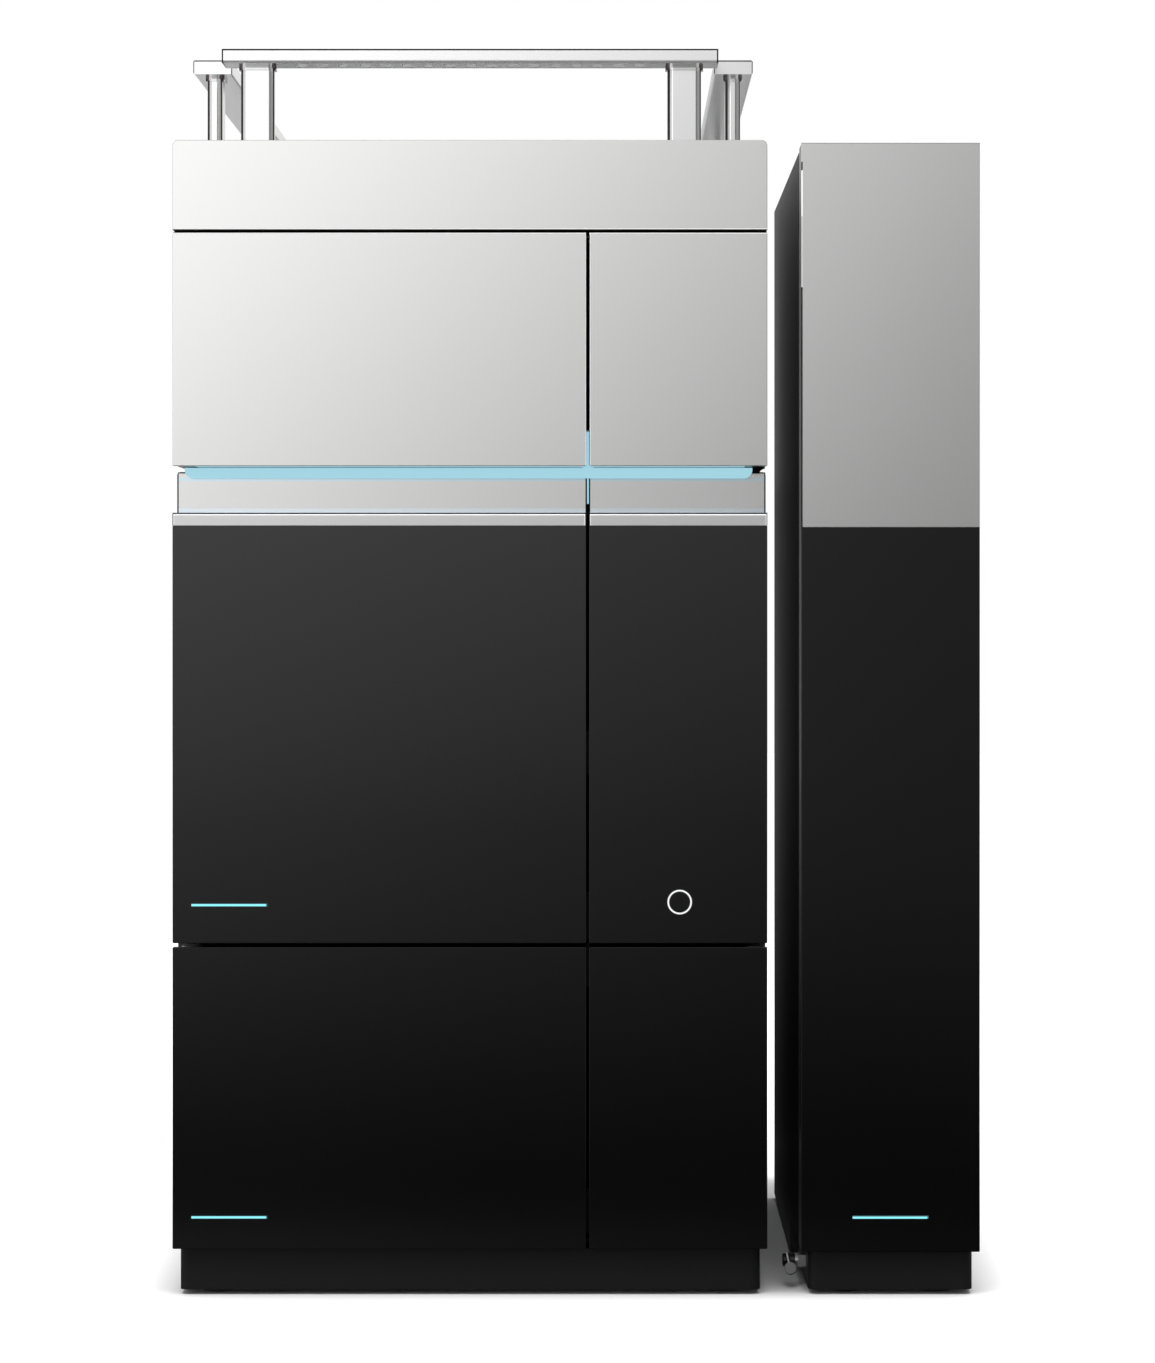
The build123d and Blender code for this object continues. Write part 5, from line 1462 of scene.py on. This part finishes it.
@dataclass
class DetectorBay:
    """The flow cell's bolts, nuts, window and pipes, and the lamp's cover plate."""

    cell_face: float = -131.0
    cell_x: tuple[float, float] = (-89.0, -21.0)
    cell_z: tuple[float, float] = (647.0, 695.0)
    ports: tuple[float, float] = (-77.0, -33.0)
    port_face: float = -149.0
    port_z: float = 671.0
    entry: float = 4.0
    window_x: float = -55.0
    window_profile: Profile = ((11.0, 0.0), (11.0, 2.4), (9.4, 3.2), (7.6, 3.2), (7.6, 1.6), (0.0, 1.6))
    lane_y: float = -170.0
    lane_z: float = 597.0
    turn_x: float = 60.0
    end_y: float = -98.0
    plate: tuple[Point, Point] = ((40.0, -99.5, 612.0), (112.0, -96.6, 722.0))
    plate_inset: float = 6.0

    def build(self, shop: Workshop) -> None:
        """Builds the bay's fittings.

        Args:
            shop: Maker of the pieces.
        """
        bolts = [(x, self.cell_face, z) for x in self.cell_x for z in self.cell_z]
        shop.studs("flow_cell_bolts", bolts, Facing.FRONT, CAP_BOLT, ON_STEEL)
        ports = [(x, self.port_face, self.port_z) for x in self.ports]
        shop.studs("flow_cell_nuts", ports, Facing.FRONT, CELL_NUT, ON_STEEL)
        window = Form("flow_cell_window")
        window.turned(self.window_profile, (self.window_x, self.cell_face, self.port_z), Facing.FRONT, 40)
        shop.form(window, STEEL, ON_STEEL)
        for number, x in enumerate(self.ports):
            lane, z = self.lane_y, self.lane_z + 6 * number
            path = [(x, self.port_face - self.entry, self.port_z), (x, lane, self.port_z), (x, lane, z),
                    (self.turn_x, lane, z), (self.turn_x, self.end_y, z)]
            shop.tube(f"flow_cell_pipe_{number}", path, CELL_PIPE, ON_STEEL)
        (left, face, low), (right, _, top) = self.plate
        shop.block("lamp_door", *self.plate, 1.0, LINER, ON_INNER)
        inset = self.plate_inset
        corners = [(x, face, z) for x in (left + inset, right - inset) for z in (low + inset, top - inset)]
        shop.studs("lamp_door_screws", corners, Facing.FRONT, LAMP_SCREW, ON_STEEL)


@dataclass
class ColumnOven:
    """End fittings, clips and pipes of the two columns, and the heater's fins."""

    columns: tuple[float, float] = (202.0, 242.0)
    y: float = -131.0
    z: tuple[float, float] = (370.0, 620.0)
    clip_feet: tuple[float, float] = (432.0, 552.0)
    clip_height: float = 12.0
    clip_half: float = 8.5
    clip_y: tuple[float, float] = (-127.5, -114.5)
    jaw_x: tuple[float, float] = (5.2, 8.2)
    jaw_y: tuple[float, float] = (-137.0, -125.0)
    entry: float = 5.0
    wall_y: float = -116.0
    pipe_z: tuple[float, float] = (322.0, 668.0)
    fin: Point = (64.0, 2.4, 2.0)
    first_fin: Point = (222.0, -115.6, 150.0)
    fin_pitch: float = 9.0

    def build(self, shop: Workshop) -> None:
        """Builds the oven's fittings.

        Args:
            shop: Maker of the pieces.
        """
        low, top = self.z
        for name, z, facing in (("column_top_nuts", top, Facing.UP), ("column_low_nuts", low, Facing.DOWN)):
            shop.studs(name, [(x, self.y, z) for x in self.columns], facing, COLUMN_NUT, ON_STEEL)
        clips = Form("column_clips")
        for x in self.columns:
            for z in self.clip_feet:
                end, (front, back) = z + self.clip_height, self.clip_y
                clips.block((x - self.clip_half, front, z), (x + self.clip_half, back, end), 1.2)
                for side in (-1, 1):
                    left, right = sorted(x + side * reach for reach in self.jaw_x)
                    clips.block((left, self.jaw_y[0], z), (right, self.jaw_y[1], end), 0.8)
        shop.form(clips, BLACK_PLASTIC, ON_INNER)
        for x, label in zip(self.columns, ("left", "right")):
            for end, start, z in (("inlet", top + self.entry, self.pipe_z[1]),
                                  ("outlet", low - self.entry, self.pipe_z[0])):
                path = [(x, self.y, start), (x, self.y, z), (x, self.wall_y, z)]
                shop.tube(f"column_{label}_{end}_pipe", path, CAPILLARY, ON_STEEL)
        shop.bars("oven_fins", row(self.first_fin, (0.0, 0.0, self.fin_pitch), 17), self.fin, MACHINED, ON_DRIVE)


@dataclass
class DrainTap:
    """Thumb button on the tap's lever, and a pale thin line along the lever's top."""

    button: Point = (152.5, -224.6, 14.6)
    button_profile: Profile = ((3.6, 0.0), (4.3, 0.3), (4.4, 1.1), (4.0, 1.7), (0.0, 1.8))
    pale_line: Profile = ((149.3, 25.6), (150.4, 25.6), (152.0, 18.0), (150.9, 18.0))
    pale_line_y: tuple[float, float] = (-226.2, -217.2)

    def build(self, shop: Workshop) -> None:
        """Builds the button and the pale line.

        Args:
            shop: Maker of the pieces.
        """
        place = Place("drain_tap_lever", "tap_plastic")
        button = Form("tap_button")
        button.turned(self.button_profile, self.button, Facing.FRONT, 36)
        shop.form(button, TAP_GREY, place)
        pale_line = Form("tap_pale_line")
        pale_line.prism(self.pale_line, self.pale_line_y, 0.15)
        shop.form(pale_line, TAP_PALE, place)


# ---------------------------------------------------------------- studio; its sizes are in metres
@dataclass
class StudioCamera:
    """The camera, level and straight on."""

    place: Point = (0.0239, -2.750, 0.4857)
    lens: float = 93.54
    shift: tuple[float, float] = (-0.02384, -0.05466)
    reach: float = 60.0

    def build(self) -> None:
        """Creates the camera and makes it the scene's."""
        data = bpy.data.cameras.new("studio_camera")
        data.lens = self.lens
        data.shift_x, data.shift_y = self.shift
        data.clip_end = self.reach
        camera = bpy.data.objects.new("studio_camera", data)
        camera.location = self.place
        camera.rotation_euler = (math.pi / 2, 0.0, 0.0)
        bpy.context.collection.objects.link(camera)
        bpy.context.scene.camera = camera


@dataclass
class StudioLight:
    """Soft light: a bright field at the upper left in front, dimmer sides, and a lamp overhead."""

    key: Point = (-0.55, -0.60, 0.58)
    levels: Profile = ((0.0, 0.32), (0.26, 0.30), (0.42, 0.10), (0.50, 0.12), (0.56, 0.26), (0.60, 0.42), (0.65, 0.72),
                       (0.69, 0.94), (0.73, 1.52), (0.765, 1.86), (0.80, 1.20), (0.85, 0.74), (0.93, 0.66))
    brightest: float = 2.0
    rear: Point = (0.33, 0.8, 0.5)
    rear_span: tuple[float, float] = (0.55, 1.0)
    rear_level: float = 0.6
    roof_span: tuple[float, float] = (0.75, 0.93)
    roof_share: float = 0.06
    lamp_place: Point = (0.0, -0.3, 2.4)
    lamp_size: float = 2.6
    lamp_power: float = 90.0

    def build(self) -> None:
        """Builds the world and the lamp."""
        world = bpy.data.worlds.new("studio_world")
        bpy.context.scene.world = world
        shader = Shader(world)
        parts = shader.split(shader.node("ShaderNodeTexCoord", output="Generated"))
        stops = [(place, (level / self.brightest,) * 3) for place, level in self.levels]
        facing = shader.along(parts, self.key)
        field_light = shader.node("ShaderNodeValToRGB", {"stops": stops}, {"Fac": facing}, "Color")
        behind = shader.ramped(shader.along(parts, self.rear), self.rear_span, (0.0, self.rear_level), True)
        overhead = shader.ramped(parts[2], self.roof_span, (1.0, self.roof_share), True)
        strength = (field_light * self.brightest + behind) * overhead
        studio = shader.node("ShaderNodeBackground", {}, {"Color": WHITE, "Strength": strength})
        backdrop = shader.node("ShaderNodeBackground", {}, {"Color": WHITE, "Strength": 1.0})
        seen = shader.node("ShaderNodeLightPath", output="Is Camera Ray")
        mixed = shader.node("ShaderNodeMixShader", {}, {0: seen, 1: studio, 2: backdrop})
        shader.node("ShaderNodeOutputWorld", {}, {"Surface": mixed})
        data = bpy.data.lights.new("overhead_lamp", "AREA")
        data.size = self.lamp_size
        data.energy = self.lamp_power
        lamp = bpy.data.objects.new("overhead_lamp", data)
        lamp.location = self.lamp_place
        lamp.visible_camera = False
        lamp.visible_glossy = False
        bpy.context.collection.objects.link(lamp)


@dataclass
class Floor:
    """Plain pale floor that keeps the object's shadow; what glossy rays see of it is set by listed levels."""

    half: float = 9.0
    colour: Colour = (0.90, 0.90, 0.90)
    foot: tuple[float, float] = (0.285, 0.25)
    near_span: tuple[float, float] = (0.0, 0.03)
    near_lift: float = 0.36
    wide_span: tuple[float, float] = (0.05, 1.2)
    wide_lift: float = 0.30
    far: float = 16.0
    stops: Profile = ((0.0, 0.07), (0.009, 0.10), (0.0135, 0.25), (0.018, 0.01), (0.045, 0.01), (0.073, 0.04),
                      (0.122, 0.13), (0.181, 0.25), (0.344, 0.47), (0.56, 0.80))
    sway_reach: float = 2.5
    sway_span: tuple[float, float] = (-0.12, 0.10)
    sway_levels: tuple[float, float] = (1.35, 0.35)
    aside_span: tuple[float, float] = (0.14, 0.21)
    aside_level: float = 0.66

    def build(self) -> None:
        """Builds the floor and its material."""
        mesh = bpy.data.meshes.new("studio_floor")
        corners = [(x * self.half, y * self.half, 0.0) for x, y in ((-1, -1), (1, -1), (1, 1), (-1, 1))]
        mesh.from_pydata(corners, [], [(0, 1, 2, 3)])
        floor = bpy.data.objects.new("studio_floor", mesh)
        bpy.context.collection.objects.link(floor)
        floor.data.materials.append(self._material())

    def _material(self) -> bpy.types.Material:
        """Builds the floor's material.

        Returns:
            The material.
        """
        material = bpy.data.materials.new("studio_floor")
        shader = Shader(material)
        across, deep, _ = shader.position()
        beside, before = (shader.maths("ABSOLUTE", way) - reach for way, reach in zip((across, deep), self.foot))
        away = shader.maths("MAXIMUM", beside, before)
        # Camera rays see the matt floor plus this emission lift, which rises with distance from the object's foot:
        # painted light that washes the shadow out beside the object and leaves it under and between the units.
        near = shader.ramped(away, self.near_span, (0.0, self.near_lift))
        wide = shader.ramped(away, self.wide_span, (0.0, self.wide_lift))
        matt = shader.node("ShaderNodeBsdfDiffuse", {}, {"Color": self.colour})
        lift = shader.node("ShaderNodeEmission", {}, {"Color": near + wide})
        pale = shader.node("ShaderNodeAddShader", {}, {0: matt, 1: lift})
        # Glossy rays see this listed emission ramp in place of the lit floor: light set directly for what the object
        # reflects, dim close to the object.
        stops = [(place, (level,) * 3) for place, level in self.stops]
        ramp = shader.node("ShaderNodeValToRGB", {"stops": stops}, {"Fac": away / self.far}, "Color")
        angle = across / (self.sway_reach + away)
        sway = shader.ramped(angle, self.sway_span, self.sway_levels)
        aside = shader.ramped(shader.maths("ABSOLUTE", angle), self.aside_span, (0.0, 1.0))
        level = ramp * sway * (1.0 - aside) + aside * self.aside_level
        mirrored = shader.node("ShaderNodeEmission", {}, {"Color": level})
        seen = shader.node("ShaderNodeLightPath", output="Is Camera Ray")
        glossy = shader.node("ShaderNodeLightPath", output="Is Glossy Ray")
        for_rays = shader.node("ShaderNodeMixShader", {}, {0: glossy, 1: matt, 2: mirrored})
        mixed = shader.node("ShaderNodeMixShader", {}, {0: seen, 1: for_rays, 2: pale})
        shader.node("ShaderNodeOutputMaterial", {}, {"Surface": mixed})
        material.cycles.emission_sampling = "NONE"
        return material


def sub_assemblies() -> list[Any]:
    """Lists the sub-assemblies that the scene adds to the frame.

    Returns:
        The sub-assemblies, in order.
    """
    stack, left, right = (-276.0, 126.0), (-250.0, -8.0), (22.0, 100.0)
    pump, detector = (46.0, 232.0), (600.0, 738.0)
    liners = [
        DoorLiner("pump_door_left", left, pump, 3, 3),
        DoorLiner("pump_door_right", right, pump, 2, 3),
        DoorLiner("sampler_door_left", left, (262.0, 530.0), 3, 4),
        DoorLiner("sampler_door_right", right, (296.0, 530.0), 2, 4),
        DoorLiner("detector_door_left", left, detector, 3, 3),
        DoorLiner("detector_door_right", right, detector, 2, 3),
        DoorLiner("tower_door", (174.0, 250.0), (60.0, 780.0), 2, 8),
    ]
    serial, network, remote = Socket.SERIAL, Socket.NETWORK, Socket.REMOTE
    backs = [
        RearPanelFittings("pump_rear", stack, (40.0, 238.0), 246.0, 6, 3, (
            (serial, 75.0, 118.0), (serial, 75.0, 145.0), (network, 66.0, 172.0), (network, 86.0, 172.0))),
        RearPanelFittings("sampler_rear", stack, (256.0, 574.5), 246.0, 6, 5, (
            (serial, 75.0, 334.0), (serial, 75.0, 361.0), (network, 66.0, 388.0), (network, 86.0, 388.0))),
        RearPanelFittings("detector_rear", stack, (593.5, 744.5), 246.0, 6, 3, (
            (serial, 75.0, 664.0), (network, 66.0, 692.0), (network, 86.0, 692.0), (remote, 75.0, 718.0))),
        RearPanelFittings("tower_rear", (167.0, 277.0), (12.0, 802.0), 158.0, 3, 8, ((serial, 222.0, 110.0),)),
    ]
    return [FrontSeams(), *liners, *backs, TowerFan(), TrayMat(), PumpBay(), SamplerBay(), DetectorBay(), ColumnOven(),
            DrainTap()]


def main() -> None:
    """Builds the studio and dresses every sub-assembly."""
    logging.basicConfig(level=logging.INFO, format="%(name)s: %(message)s")
    scene = bpy.context.scene
    scene.view_settings.view_transform = "Standard"
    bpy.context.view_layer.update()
    StudioCamera().build()
    StudioLight().build()
    Floor().build()
    finishes = Finishes()
    finishes.dress_all()
    shop = Workshop(finishes)
    for assembly in sub_assemblies():
        assembly.build(shop)


if __name__ == "__main__":
    main()
